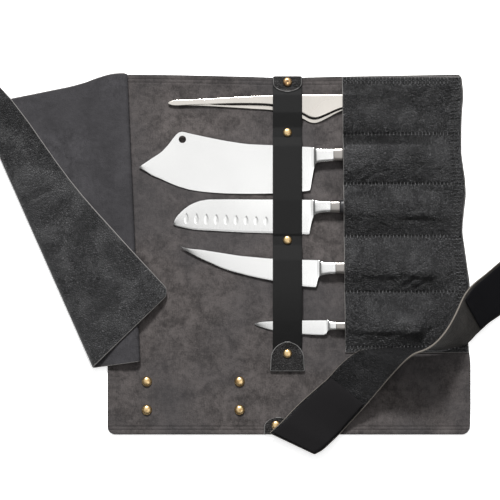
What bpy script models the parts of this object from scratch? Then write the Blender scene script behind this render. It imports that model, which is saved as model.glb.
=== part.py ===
"""Open leather knife roll with four knives and a pair of tweezers.

The roll lies face up. X runs along the knives, from the tips to the pockets. Y runs up the row of
pockets and Z points up. The origin is the middle of the underside of the main panel.
"""
import math

import bmesh
import bpy
from mathutils import Matrix, Vector

# Main panel
PANEL_LENGTH = 0.4525
PANEL_WIDTH = 0.449
PANEL_THICK = 0.0025
PANEL_CORNER = 0.009

# Clearance between layers that lie on one another
LAYER_GAP = 0.0003

# Pocket panel: depth from the right edge, and the height of each pocket from the top down
POCKET_DEPTH = 0.157
POCKET_LEAN = 0.005
POCKET_THICK = 0.0018
POCKET_HEIGHTS = [0.0715, 0.0625, 0.0655, 0.0695, 0.0690]
POCKET_TOP_INSET = 0.003
EDGE_SEAM = 0.0115
POCKET_CLEARANCE = 0.0008
POCKET_EDGE_INSET = 0.0008

# Blade flap: one sheet, doubled back at its hinge and folded over again
FLAP_HEIGHT = 0.350
FLAP_WIDTH = 0.236
FLAP_THICK = 0.0020
FLAP_TOP_INSET = 0.003
FLAP_SEWN_INSET = 0.0006
HINGE_RADIUS = 0.0042
FOLD_RADIUS = 0.0036
FLAP_CORNER = 0.010
FLAP_DROP_RUN = 0.045
FLAP_TIP_DROOP = 0.0065
FLAP_DROOP_START = 0.004
FLAP_DROOP_RUN = 0.040
FOLD_CLOSE_RUN = 0.045

# Band over the blades
BAND_WIDTH = 0.0355
BAND_THICK = 0.0016
BAND_FROM_MOUTH = 0.0535
BAND_TOP_INSET = 0.0045
BAND_END_INSET = 0.002
UPPER_RIVET_RISE = 0.0024
LOWER_RIVET_DROP = 0.0040

# Leather tabs
TAB_THICK = 0.0018
TOP_TAB_WIDTH = 0.034
TOP_TAB_LENGTH = 0.0185
TOP_TAB_LIP = 0.0015
END_TAB_WIDTH = 0.0415
END_TAB_LENGTH = 0.0355
END_TAB_DROP = 0.0285
END_TAB_TAPER = 0.08
LOWER_TAB_WIDTH = 0.034
LOWER_TAB_LENGTH = 0.020
LOWER_TAB_LEFT = 0.196
LOWER_TAB_INSET = 0.0005

# Brass fasteners
CAP_RADIUS = 0.00575
CAP_HEIGHT = 0.0030
STUD_RADIUS = 0.0065
STUD_HEIGHT = 0.0042
CAP_RIM = 0.0007
POST_RADIUS = 0.0019
POST_CLEARANCE = 0.0003
CUTTER_HEIGHT = 0.06

# Closure strap
STRAP_WIDTH = 0.058
STRAP_THICK = 0.0022
PATCH_THICK = 0.0016
HOOK_LENGTH = 0.096
LOOP_LENGTH = 0.115
PATCH_MARGIN = 0.003
REST_REACH = 0.007

# Knives
BLADE_SPINE = 0.0024
BLADE_EDGE = 0.0004
RING_LENGTH = 0.0115
JOINT_GAP = 0.0003
BLADE_FLOOR_GAP = 0.0005
TIP_WIDTH = 0.004

# Tweezers
TWEEZER_REACH = 0.272
TWEEZER_PLATE = 0.0014
TWEEZER_WIDTH = 0.0279
TWEEZER_OPENING = 0.0062
TWEEZER_TO_MOUTH = 0.2176

ROUND_STEPS = 16


# Colours and materials

def linear(value):
    """Linear value of an sRGB share."""
    if value <= 0.04045:
        return value / 12.92
    return ((value + 0.055) / 1.055) ** 2.4


def make_material(name, colour, roughness, metallic):
    """Principled material from an sRGB colour in 0 to 255."""
    material = bpy.data.materials.new(name)
    material.use_nodes = True
    shader = material.node_tree.nodes["Principled BSDF"]
    red, green, blue = (linear(channel / 255) for channel in colour)
    shader.inputs["Base Color"].default_value = (red, green, blue, 1)
    shader.inputs["Roughness"].default_value = roughness
    shader.inputs["Metallic"].default_value = metallic
    return material


# Small mathematics

def mix(start, end, share):
    """Value between two others."""
    return start + (end - start) * share


def smooth(share):
    """Share eased at both ends and kept between 0 and 1."""
    share = min(max(share, 0.0), 1.0)
    return share * share * (3 - 2 * share)


def table_value(table, key, column):
    """Linear value of a column at a key, the first column, which rises."""
    if key <= table[0][0]:
        return table[0][column]
    for lower, upper in zip(table, table[1:]):
        if key <= upper[0]:
            share = (key - lower[0]) / (upper[0] - lower[0])
            return mix(lower[column], upper[column], share)
    return table[-1][column]


def reflect(point, origin, along):
    """Mirror image of a plan point across a line with a unit direction."""
    offset = point - origin
    return origin + 2 * along.dot(offset) * along - offset


# Plan of the main panel

# Height share from the lower edge, and how far the right edge is drawn in, as a share of the length
RIGHT_EDGE = [
    (0.00, 0.002), (0.08, 0.000), (0.19, 0.000), (0.26, 0.006), (0.33, 0.005), (0.41, 0.002),
    (0.47, 0.009), (0.52, 0.016), (0.57, 0.022), (0.62, 0.018), (0.67, 0.013), (0.71, 0.015),
    (0.745, 0.020), (0.79, 0.025), (0.85, 0.025), (0.90, 0.023), (0.945, 0.020), (1.00, 0.025),
]
# Length share from the left edge, and how far the top edge is drawn in, as a share of the width
TOP_EDGE = [(0.0, 0.000), (0.15, 0.001), (0.39, 0.006), (0.50, 0.009), (0.65, 0.006), (1.0, 0.000)]


def panel_x(share):
    return (share - 0.5) * PANEL_LENGTH


def panel_y(share):
    return (share - 0.5) * PANEL_WIDTH


def right_edge_x(y):
    """Right edge of the main panel at a height on the plan."""
    share = y / PANEL_WIDTH + 0.5
    return PANEL_LENGTH * (0.5 - table_value(RIGHT_EDGE, share, 1))


def top_edge_y(x):
    """Top edge of the main panel at a place along it."""
    share = x / PANEL_LENGTH + 0.5
    return PANEL_WIDTH * (0.5 - table_value(TOP_EDGE, share, 1))


def rounded(corner, before, after, radius, steps=4):
    """Points that round a plan corner between its two neighbours."""
    start = corner + (before - corner).normalized() * radius
    end = corner + (after - corner).normalized() * radius
    points = []
    for step in range(steps + 1):
        share = step / steps
        first = start.lerp(corner, share)
        second = corner.lerp(end, share)
        points.append(first.lerp(second, share))
    return points


def panel_outline():
    """Outline of the main panel, anticlockwise from the lower left corner."""
    half = PANEL_WIDTH / 2
    left = -PANEL_LENGTH / 2
    low_left = Vector((left, -half))
    low_right = Vector((right_edge_x(-half), -half))
    up_right = Vector((right_edge_x(half), half))
    up_left = Vector((left, half))
    points = rounded(low_left, up_left, low_right, PANEL_CORNER)
    points += rounded(low_right, low_left, up_right, PANEL_CORNER)
    for share, _ in RIGHT_EDGE[1:-1]:
        y = panel_y(share)
        points.append(Vector((right_edge_x(y), y)))
    points += rounded(up_right, low_right, up_left, PANEL_CORNER / 2)
    for share, _ in reversed(TOP_EDGE[1:-1]):
        x = panel_x(share)
        points.append(Vector((x, top_edge_y(x))))
    points += rounded(up_left, up_right, low_left, PANEL_CORNER / 3)
    return points


# Objects

def link(name, mesh, material, collection):
    """Object of a mesh, smooth where its faces nearly line up."""
    thing = bpy.data.objects.new(name, mesh)
    collection.objects.link(thing)
    if material is not None:
        mesh.materials.append(material)
    mesh.shade_smooth()
    mesh.set_sharp_from_angle(angle=math.radians(40))
    return thing


def plate(name, outline, bottom, thick, material, collection):
    """Flat plate from a plan outline, made as a filled and extruded curve."""
    curve = bpy.data.curves.new(name, "CURVE")
    curve.dimensions = "2D"
    curve.fill_mode = "BOTH"
    curve.extrude = thick / 2
    spline = curve.splines.new("POLY")
    spline.points.add(len(outline) - 1)
    for point, place in zip(spline.points, outline):
        point.co = (place.x, place.y, 0, 1)
    spline.use_cyclic_u = True
    holder = bpy.data.objects.new(name + "_curve", curve)
    collection.objects.link(holder)
    graph = bpy.context.evaluated_depsgraph_get()
    mesh = bpy.data.meshes.new_from_object(holder.evaluated_get(graph))
    bpy.data.objects.remove(holder)
    shape = bmesh.new()
    shape.from_mesh(mesh)
    bmesh.ops.remove_doubles(shape, verts=shape.verts, dist=1e-6)
    bmesh.ops.recalc_face_normals(shape, faces=shape.faces)
    shape.to_mesh(mesh)
    shape.free()
    mesh.materials.clear()
    thing = link(name, mesh, material, collection)
    thing.location.z = bottom + thick / 2
    return thing


def sheet(name, rows, thick, material, collection):
    """Leather or woven sheet with its middle surface on a grid of points."""
    shape = bmesh.new()
    grid = []
    for row in rows:
        grid.append([shape.verts.new(point) for point in row])
    for low, high in zip(grid, grid[1:]):
        for column in range(len(low) - 1):
            corners = (low[column], low[column + 1], high[column + 1], high[column])
            shape.faces.new(corners)
    mesh = bpy.data.meshes.new(name)
    shape.to_mesh(mesh)
    shape.free()
    thing = link(name, mesh, material, collection)
    solid = thing.modifiers.new("thickness", "SOLIDIFY")
    solid.thickness = thick
    solid.offset = 0
    solid.use_even_offset = True
    return thing


def loft(name, sections, material, collection):
    """Closed body through sections with the same number of points."""
    shape = bmesh.new()
    rings = []
    for section in sections:
        rings.append([shape.verts.new(point) for point in section])
    count = len(rings[0])
    for low, high in zip(rings, rings[1:]):
        for index in range(count):
            following = (index + 1) % count
            corners = (low[index], low[following], high[following], high[index])
            shape.faces.new(corners)
    shape.faces.new(list(reversed(rings[0])))
    shape.faces.new(rings[-1])
    bmesh.ops.recalc_face_normals(shape, faces=shape.faces)
    mesh = bpy.data.meshes.new(name)
    shape.to_mesh(mesh)
    shape.free()
    return link(name, mesh, material, collection)


def turned(name, profile, place, material, collection):
    """Turned body from a profile of radius and height, from the top down."""
    shape = bmesh.new()
    points = [shape.verts.new((radius, 0, height)) for radius, height in profile]
    for upper, lower in zip(points, points[1:]):
        shape.edges.new((upper, lower))
    mesh = bpy.data.meshes.new(name)
    shape.to_mesh(mesh)
    shape.free()
    thing = link(name, mesh, material, collection)
    screw = thing.modifiers.new("turn", "SCREW")
    screw.steps = ROUND_STEPS
    screw.render_steps = ROUND_STEPS
    screw.use_merge_vertices = True
    screw.merge_threshold = 0.00001
    screw.use_smooth_shade = True
    thing.location = place
    return thing


def hole_cutter(name, place, radius, collection):
    """Round cutter along the Z axis of a placing matrix."""
    shape = bmesh.new()
    bmesh.ops.create_cone(
        shape, cap_ends=True, segments=ROUND_STEPS, radius1=radius, radius2=radius, depth=CUTTER_HEIGHT)
    mesh = bpy.data.meshes.new(name)
    shape.to_mesh(mesh)
    shape.free()
    thing = bpy.data.objects.new(name, mesh)
    collection.objects.link(thing)
    thing.matrix_world = place
    thing.hide_render = True
    thing.display_type = "WIRE"
    return thing


def drill(thing, cutter):
    """Difference cut with an exact Boolean."""
    cut = thing.modifiers.new(cutter.name, "BOOLEAN")
    cut.operation = "DIFFERENCE"
    cut.solver = "EXACT"
    cut.object = cutter


# Pockets

def pocket_lines():
    """Seam heights on the plan, from the top down."""
    lines = [PANEL_WIDTH / 2 - POCKET_TOP_INSET]
    for height in POCKET_HEIGHTS:
        lines.append(lines[-1] - height)
    return lines


def mouth_x(y):
    """Mouth edge of the pocket panel at a height on the plan."""
    share = y / PANEL_WIDTH
    return PANEL_LENGTH / 2 - POCKET_DEPTH - POCKET_LEAN * share


SHEET_BASE = PANEL_THICK + LAYER_GAP

# Knives

# Each row: distance from the ring as a share of the reach, from the tip on, the spine and the edge as
# shares of the blade height above the handle's axis, and how far the section has grown to the bolster
CHEF_ROWS = [
    (1.000, -0.206, -0.216, 0.0),
    (0.970, -0.141, -0.266, 0.0),
    (0.935, -0.068, -0.332, 0.0),
    (0.887, 0.031, -0.395, 0.0),
    (0.856, 0.127, -0.440, 0.0),
    (0.793, 0.346, -0.519, 0.0),
    (0.780, 0.356, -0.530, 0.0),
    (0.737, 0.328, -0.568, 0.0),
    (0.634, 0.260, -0.610, 0.0),
    (0.531, 0.200, -0.628, 0.0),
    (0.428, 0.158, -0.632, 0.0),
    (0.304, 0.141, -0.626, 0.0),
    (0.160, 0.118, -0.595, 0.0),
    (0.122, 0.113, -0.576, 0.0),
    (0.1155, 0.111, -0.500, 0.0),
    (0.108, 0.108, -0.360, 0.03),
    (0.100, 0.105, -0.235, 0.10),
    (0.0915, 0.102, -0.160, 0.72),
    (0.080, 0.099, -0.136, 0.88),
    (0.050, 0.096, -0.122, 0.95),
    (0.000, 0.095, -0.112, 1.0),
]
SANTOKU_ROWS = [
    (1.000, -0.520, -0.530, 0.0),
    (0.981, -0.330, -0.570, 0.0),
    (0.955, -0.190, -0.600, 0.0),
    (0.924, -0.060, -0.630, 0.0),
    (0.885, 0.060, -0.665, 0.0),
    (0.828, 0.160, -0.695, 0.0),
    (0.764, 0.205, -0.710, 0.0),
    (0.637, 0.208, -0.745, 0.0),
    (0.510, 0.206, -0.770, 0.0),
    (0.350, 0.202, -0.790, 0.0),
    (0.180, 0.196, -0.812, 0.0),
    (0.137, 0.194, -0.822, 0.0),
    (0.129, 0.193, -0.700, 0.0),
    (0.118, 0.192, -0.450, 0.04),
    (0.108, 0.190, -0.310, 0.10),
    (0.099, 0.188, -0.240, 0.72),
    (0.076, 0.182, -0.200, 0.86),
    (0.040, 0.180, -0.170, 0.94),
    (0.000, 0.176, -0.165, 1.0),
]
FILLET_ROWS = [
    (1.000, 0.810, 0.795, 0.0),
    (0.972, 0.730, 0.660, 0.0),
    (0.930, 0.690, 0.520, 0.0),
    (0.856, 0.650, 0.300, 0.0),
    (0.803, 0.600, 0.170, 0.0),
    (0.740, 0.545, 0.010, 0.0),
    (0.675, 0.485, -0.120, 0.0),
    (0.610, 0.430, -0.220, 0.0),
    (0.545, 0.395, -0.315, 0.0),
    (0.404, 0.325, -0.480, 0.0),
    (0.210, 0.285, -0.685, 0.0),
    (0.128, 0.275, -0.720, 0.0),
    (0.120, 0.273, -0.600, 0.0),
    (0.113, 0.272, -0.440, 0.04),
    (0.103, 0.268, -0.330, 0.10),
    (0.092, 0.250, -0.300, 0.72),
    (0.070, 0.225, -0.270, 0.86),
    (0.035, 0.215, -0.240, 0.94),
    (0.000, 0.210, -0.235, 1.0),
]
PARING_ROWS = [
    (1.000, 0.125, 0.115, 0.0),
    (0.960, 0.195, -0.010, 0.0),
    (0.896, 0.260, -0.130, 0.0),
    (0.786, 0.300, -0.300, 0.0),
    (0.640, 0.325, -0.430, 0.0),
    (0.420, 0.360, -0.560, 0.0),
    (0.163, 0.375, -0.622, 0.0),
    (0.120, 0.374, -0.540, 0.0),
    (0.106, 0.373, -0.380, 0.05),
    (0.092, 0.365, -0.330, 0.15),
    (0.080, 0.340, -0.300, 0.75),
    (0.040, 0.305, -0.275, 0.92),
    (0.000, 0.300, -0.270, 1.0),
]
# Share along the handle, half width and half thickness as shares of the handle's largest ones
HANDLE_ROWS = [
    (0.00, 0.66, 0.84), (0.08, 0.76, 0.90), (0.25, 0.92, 0.97), (0.50, 0.94, 1.00),
    (0.72, 0.90, 0.97), (0.90, 1.00, 0.93), (0.97, 0.92, 0.82), (1.00, 0.72, 0.60),
]

# What each pocket holds, from the top down
POCKET_ORDER = ["tweezers", "chef", "santoku", "fillet", "paring"]
# Each knife: handle axis as a share of the pocket height from its upper seam, distance from the ring to
# the mouth, sizes of blade and handle, and the roll in degrees that lets its edge down. A hole in a blade
# has its place as shares of the reach and the height, and its radius
KNIVES = {
    "chef": {
        "axis_share": 0.396, "from_mouth": 0.0125,
        "reach": 0.2425, "height": 0.0784, "bolster": 0.0125, "bolster_width": 0.0164,
        "handle_length": 0.112, "handle_width": 0.0250, "handle_thick": 0.0152,
        "roll": 5.0, "rows": CHEF_ROWS, "hole": (0.777, 0.237, 0.00465),
    },
    "santoku": {
        "axis_share": 0.419, "from_mouth": 0.0170,
        "reach": 0.1963, "height": 0.0430, "bolster": 0.0118, "bolster_width": 0.0150,
        "handle_length": 0.108, "handle_width": 0.0235, "handle_thick": 0.0146,
        "roll": 10.0, "rows": SANTOKU_ROWS,
    },
    "fillet": {
        "axis_share": 0.550, "from_mouth": 0.0115,
        "reach": 0.1940, "height": 0.0340, "bolster": 0.0118, "bolster_width": 0.0152,
        "handle_length": 0.108, "handle_width": 0.0235, "handle_thick": 0.0146,
        "roll": 6.0, "rows": FILLET_ROWS,
    },
    "paring": {
        "axis_share": 0.600, "from_mouth": 0.0115,
        "reach": 0.1023, "height": 0.0185, "bolster": 0.0098, "bolster_width": 0.0106,
        "handle_length": 0.094, "handle_width": 0.0190, "handle_thick": 0.0125,
        "roll": 6.0, "rows": PARING_ROWS,
    },
}

# Across a blade section, from the spine to the edge
SECTION_SHARES = (0.0, 0.05, 0.3, 0.7, 0.95, 1.0)
# Least thickness of a bolster's rim and of a blade's tip, as shares of the full one
RIM_SHARE = 0.28
TIP_SHARE = 0.4
# Power of the wedge between spine and edge, and of the bolster's round section
WEDGE_POWER = 1.3
BOLSTER_POWER = 2.6
# Height of a lying handle's axis as a share of its thickness, and the part of its width that the
# roll adds to it
HANDLE_REST = 0.47
ROLL_REST = 0.18
# Half thickness of a blade where it comes nearest to the panel, as a share of the spine's thickness
REST_SHARE = 0.3


def blade_half(knife, share, swell):
    """Half thickness of blade or bolster at a share of the width from the spine."""
    wedge = mix(BLADE_SPINE, BLADE_EDGE, share ** WEDGE_POWER) / 2
    across = abs(2 * share - 1)
    round_share = (1 - across ** BOLSTER_POWER) ** (1 / BOLSTER_POWER)
    return mix(wedge, max(round_share, RIM_SHARE) * knife["bolster"] / 2, swell)


def blade_sections(knife):
    """Sections of a forged blade and its bolster, in the knife's own frame, ring end at x = 0."""
    sections = []
    for share, spine, edge, swell in knife["rows"]:
        x = -share * knife["reach"]
        top = spine * knife["height"]
        low = edge * knife["height"]
        thin = max(min((top - low) / TIP_WIDTH, 1.0), TIP_SHARE)
        upper = []
        under = []
        for across in SECTION_SHARES:
            y = mix(top, low, across)
            half = blade_half(knife, across, swell) * thin
            upper.append(Vector((x, y, half)))
            under.append(Vector((x, y, -half)))
        sections.append(upper + list(reversed(under)))
    return sections


def oval(x, half_width, half_thick, count=16, power=2.5):
    """Rounded oval section across the X axis."""
    points = []
    for index in range(count):
        angle = 2 * math.pi * index / count
        cosine = math.cos(angle)
        sine = math.sin(angle)
        y = math.copysign(abs(cosine) ** (2 / power), cosine) * half_width
        z = math.copysign(abs(sine) ** (2 / power), sine) * half_thick
        points.append(Vector((x, y, z)))
    return points


def ring_sections(knife):
    """Steel ring between the bolster and the handle."""
    half_width = knife["bolster_width"] / 2
    half_thick = knife["bolster"] / 2
    start = JOINT_GAP
    end = RING_LENGTH
    return [oval(start, half_width, half_thick), oval(end, half_width * 1.03, half_thick * 1.02)]


def handle_sections(knife):
    """Plain handle with a swell and a slightly hooked butt."""
    start = RING_LENGTH + JOINT_GAP
    sections = []
    for share, wide, thick in HANDLE_ROWS:
        x = start + share * knife["handle_length"]
        sections.append(oval(x, wide * knife["handle_width"] / 2, thick * knife["handle_thick"] / 2))
    return sections


def knife_place(name):
    """Placing matrix: handle down in its pocket, blade let down until its tip or edge is near the panel."""
    knife = KNIVES[name]
    index = POCKET_ORDER.index(name)
    y = pocket_lines()[index] - knife["axis_share"] * POCKET_HEIGHTS[index]
    x = mouth_x(y) - knife["from_mouth"]
    roll = math.radians(knife["roll"])
    z = SHEET_BASE + HANDLE_REST * knife["handle_thick"]
    z += ROLL_REST * knife["handle_width"] * math.sin(roll)
    floor = SHEET_BASE + BLADE_FLOOR_GAP
    slope = 1.0
    for share, _, edge, swell in knife["rows"]:
        if swell > 0 or share == 0:
            continue
        low = min(edge, 0.0) * knife["height"] * math.sin(roll)
        room = z + low - BLADE_SPINE * REST_SHARE - floor
        slope = min(slope, room / (share * knife["reach"]))
    pitch = math.asin(max(slope, 0.0))
    turn = Matrix.Rotation(-pitch, 4, "Y") @ Matrix.Rotation(roll, 4, "X")
    return Matrix.Translation((x, y, z)) @ turn


# Tweezers

# Share along the plate from the upper tip to the lower tip, distance from the tips as a share of the
# reach, middle and width as shares of the largest width, and the height as a share of the opening
TWEEZER_ROWS = [
    (0.000, -0.063, 0.143, 0.34),
    (0.040, -0.047, 0.224, 0.40),
    (0.102, -0.019, 0.212, 0.46),
    (0.193, 0.018, 0.224, 0.58),
    (0.294, 0.060, 0.246, 0.71),
    (0.395, 0.087, 0.300, 0.84),
    (0.476, 0.081, 0.376, 0.93),
    (0.545, 0.020, 0.542, 0.98),
    (0.612, -0.087, 0.775, 1.00),
    (0.642, -0.166, 0.932, 1.00),
    (0.669, -0.199, 1.000, 1.00),
    (0.697, -0.172, 0.945, 1.00),
    (0.738, -0.085, 0.771, 0.98),
    (0.798, 0.029, 0.542, 0.95),
    (0.876, 0.036, 0.493, 0.88),
    (0.960, 0.040, 0.448, 0.76),
]
LOWER_SHIFT = 0.27
LOWER_TIP_RISE = 0.075
LOWER_TIP_WIDTH = 0.9
# Middle of the tweezers as a share of the pocket height from its upper seam
TWEEZER_AXIS = 0.43


def tweezer_stations():
    """Middle line and half width of the bent plate, tip to tip through the rear bend."""
    lines = pocket_lines()
    index = POCKET_ORDER.index("tweezers")
    axis_y = lines[index] - TWEEZER_AXIS * POCKET_HEIGHTS[index]
    start_x = mouth_x(axis_y) - TWEEZER_TO_MOUTH
    bottom = SHEET_BASE + BLADE_FLOOR_GAP + TWEEZER_PLATE / 2
    upper = []
    lower = []
    for share, middle, width, height in TWEEZER_ROWS:
        x = start_x + share * TWEEZER_REACH
        y = axis_y + middle * TWEEZER_WIDTH
        rise = height * TWEEZER_OPENING
        upper.append((Vector((x, y, bottom + rise)), width * TWEEZER_WIDTH / 2))
        spread = smooth(share / 0.45) * smooth((1.0 - share) / 0.38)
        low_y = y - LOWER_SHIFT * TWEEZER_WIDTH * spread
        tip_rise = LOWER_TIP_RISE * TWEEZER_OPENING * (1 - smooth(share / 0.75))
        low_width = width * mix(LOWER_TIP_WIDTH, 1.0, share)
        lower.append((Vector((x, low_y, bottom + tip_rise)), low_width * TWEEZER_WIDTH / 2))
    bend = []
    last_up, half = upper[-1]
    last_low, _ = lower[-1]
    radius = (last_up.z - last_low.z) / 2
    centre = (last_up + last_low) / 2
    for step in range(1, 6):
        angle = math.pi * step / 6
        offset = Vector((math.sin(angle) * radius, 0, math.cos(angle) * radius))
        bend.append((centre + offset, half))
    return upper + bend + list(reversed(lower))


def tweezer_sections():
    """Plate sections that follow the bent middle line."""
    stations = tweezer_stations()
    sections = []
    for index, (point, half) in enumerate(stations):
        before = stations[max(index - 1, 0)][0]
        after = stations[min(index + 1, len(stations) - 1)][0]
        along = (after - before).normalized()
        side = Vector((0, 1, 0))
        normal = along.cross(side).normalized() * TWEEZER_PLATE / 2
        across = side * half
        sections.append([
            point + across + normal, point - across + normal,
            point - across - normal, point + across - normal])
    return sections


# Pocket surface

ARCH_POWER = 1.25
ARCH_REACH = 0.97
FALL_START = 0.12
ARCH_COLUMNS = (-1.0, -0.9, -0.76, -0.58, -0.36, -0.12, 0.12, 0.36, 0.58, 0.76, 0.9, 1.0)
# Share of the way from the mouth to the edge seam
ARCH_LENGTHS = (0.0, 0.10, 0.25, 0.42, 0.58, 0.68, 0.76, 0.82, 0.87, 0.91, 0.95, 1.0)


def pocket_contents(index):
    """World points of what lies in a pocket."""
    points = []
    if POCKET_ORDER[index] == "tweezers":
        for point, half in tweezer_stations():
            for side in (-1, 0, 1):
                points.append(point + Vector((0, side * half, TWEEZER_PLATE / 2)))
    else:
        knife = KNIVES[POCKET_ORDER[index]]
        place = knife_place(POCKET_ORDER[index])
        for section in ring_sections(knife) + handle_sections(knife):
            points += [place @ point for point in section]
    return points


def pocket_shape(index):
    """Arch of a pocket: middle line, peak rise and the place where it starts to fall."""
    lines = pocket_lines()
    top = lines[index]
    bottom = lines[index + 1]
    points = pocket_contents(index)
    inside = [point for point in points if point.x > mouth_x(point.y) - RING_LENGTH / 2]
    end = max(point.x for point in inside)
    low = min(point.y for point in inside)
    high = max(point.y for point in inside)
    middle = (low + high) / 2
    rise = 0.0
    for point in inside:
        reach = (top - middle) if point.y > middle else (middle - bottom)
        across = abs(point.y - middle) / reach
        arch = (1 - min(across, ARCH_REACH) ** 2) ** ARCH_POWER
        need = point.z + POCKET_CLEARANCE + POCKET_THICK - SHEET_BASE - POCKET_THICK / 2
        rise = max(rise, need / arch)
    return middle, rise, end


def arch_fall(x, end, seam):
    """Share of the peak rise along a pocket: full to the butt, then down to the edge seam."""
    if x <= end:
        return 1.0
    return 1.0 - smooth((x - end) / (seam - end))


def pocket_rise(index, shape, x, y):
    """Rise of the pocket's middle surface over the panel."""
    middle, rise, end = shape
    lines = pocket_lines()
    reach = (lines[index] - middle) if y > middle else (middle - lines[index + 1])
    across = min(abs(y - middle) / reach, 1.0)
    seam = right_edge_x(y) - EDGE_SEAM
    return rise * (1 - across ** 2) ** ARCH_POWER * arch_fall(x, end - FALL_START * rise, seam)


def pocket_rows():
    """Grid of the pocket panel's middle surface."""
    base = SHEET_BASE + POCKET_THICK / 2
    lines = pocket_lines()
    shapes = [pocket_shape(index) for index in range(len(POCKET_HEIGHTS))]
    stations = []
    for index in reversed(range(len(POCKET_HEIGHTS))):
        middle = shapes[index][0]
        first = 0 if not stations else 1
        for column in ARCH_COLUMNS[first:]:
            reach = (lines[index] - middle) if column > 0 else (middle - lines[index + 1])
            stations.append((index, middle + column * reach))
    rows = []
    for index, y in stations:
        start = mouth_x(y)
        edge = right_edge_x(y) - POCKET_EDGE_INSET
        seam = right_edge_x(y) - EDGE_SEAM
        row = []
        for share in ARCH_LENGTHS:
            x = mix(start, seam, share)
            row.append(Vector((x, y, base + pocket_rise(index, shapes[index], x, y))))
        row.append(Vector((edge, y, base)))
        rows.append(row)
    return rows


def pocket_top(x, y):
    """Upper surface of the pocket panel at a plan point, or None beside it."""
    lines = pocket_lines()
    if not lines[-1] < y < lines[0] or not mouth_x(y) < x < right_edge_x(y):
        return None
    for index in range(len(POCKET_HEIGHTS)):
        if lines[index + 1] <= y <= lines[index]:
            rise = pocket_rise(index, pocket_shape(index), x, y)
            return SHEET_BASE + POCKET_THICK + rise
    return None


# Blade band

BAND_MIDDLE = PANEL_LENGTH / 2 - POCKET_DEPTH - BAND_FROM_MOUTH - BAND_WIDTH / 2


def tool_tops(x):
    """Plan height and top of each blade or arm that the band crosses at a place along the panel."""
    places = []
    for name, knife in KNIVES.items():
        place = knife_place(name)
        local = place.inverted() @ Vector((x, place.translation.y, place.translation.z))
        share = min(max(-local.x / knife["reach"], 0.0), 1.0)
        rows = sorted(knife["rows"])
        swell = table_value(rows, share, 3)
        for column, thin in ((1, BLADE_SPINE / 2), (2, BLADE_EDGE)):
            y = table_value(rows, share, column) * knife["height"]
            half = mix(thin, knife["bolster"] / 2, swell)
            point = place @ Vector((-share * knife["reach"], y, half))
            places.append((point.y, point.z))
    stations = tweezer_stations()[:len(TWEEZER_ROWS)]
    for (first, half_one), (second, half_two) in zip(stations, stations[1:]):
        if first.x <= x <= second.x:
            share = (x - first.x) / (second.x - first.x)
            point = first.lerp(second, share)
            half = mix(half_one, half_two, share)
            top = point.z + TWEEZER_PLATE / 2
            places += [(point.y + half, top), (point.y - half, top)]
    return places


# Snaps on the tabs: share of the tab's length from its straight end
TOP_SNAP = 0.373
END_SNAP = 0.599
# Share of the lower tab's width and length where its snap sits
LOWER_SNAP = (0.41, 0.56)
# Studs: shares of the panel's length and width
STUDS = [(0.1075, 0.1465), (0.1075, 0.0675), (0.3635, 0.1465), (0.3635, 0.0675)]


def rivet_heights():
    """Plan heights of the lower and the upper rivet of the band, near two pocket seams."""
    lines = pocket_lines()
    return lines[3] - LOWER_RIVET_DROP, lines[1] + UPPER_RIVET_RISE


def top_tab_start():
    return top_edge_y(BAND_MIDDLE) + TOP_TAB_LIP


def end_tab_start():
    return pocket_lines()[-1] - END_TAB_DROP


def top_snap_y():
    return top_tab_start() - TOP_SNAP * TOP_TAB_LENGTH


def end_snap_y():
    return end_tab_start() + END_SNAP * END_TAB_LENGTH


def lower_snap_place():
    """Plan point of the snap on the lower tab."""
    x = -PANEL_LENGTH / 2 + LOWER_TAB_LEFT + LOWER_SNAP[0] * LOWER_TAB_WIDTH
    return x, -PANEL_WIDTH / 2 + LOWER_SNAP[1] * LOWER_TAB_LENGTH


def band_fixed():
    """Plan heights where the band lies flat on the panel, in pairs from the lower end up."""
    half = CAP_RADIUS + BAND_THICK / 2
    places = [(end_tab_start() + BAND_END_INSET, end_snap_y() + half)]
    for y in rivet_heights():
        places.append((y - half, y + half))
    top_half = half + TAB_THICK
    places.append((top_snap_y() - top_half, PANEL_WIDTH / 2 - BAND_TOP_INSET))
    return places


def raised(height, x, y, distance):
    """Height of a surface that keeps a distance over another one, which runs along Y."""
    best = height(x, y) + distance
    for step in range(-6, 7):
        shift = distance * step / 6.5
        best = max(best, height(x, y + shift) + math.sqrt(distance ** 2 - shift ** 2))
    return best


def band_height(y, fixed, tops):
    """Lowest height of a tight band's underside, between the places that hold it down."""
    base = SHEET_BASE
    points = []
    for low, high in fixed:
        points += [(low, base), (high, base)]
    for place, top in tops:
        if not any(low <= place <= high for low, high in fixed):
            points.append((place, top + LAYER_GAP))
    best = base
    for left in points:
        for right in points:
            held = any(left[0] < (low + high) / 2 < right[0] for low, high in fixed)
            if left[0] < y < right[0] and not held:
                share = (y - left[0]) / (right[0] - left[0])
                best = max(best, mix(left[1], right[1], share))
        if abs(left[0] - y) < 1e-6:
            best = max(best, left[1])
    return best


def band_surface(distance):
    """Function of the height at a distance over the band's underside, the same all across it."""
    fixed = band_fixed()
    tops = []
    for side in (-1, -0.5, 0, 0.5, 1):
        tops += tool_tops(BAND_MIDDLE + side * BAND_WIDTH / 2)

    def under(x, y):
        return band_height(y, fixed, tops)

    return lambda x, y: raised(under, x, y, distance)


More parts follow.
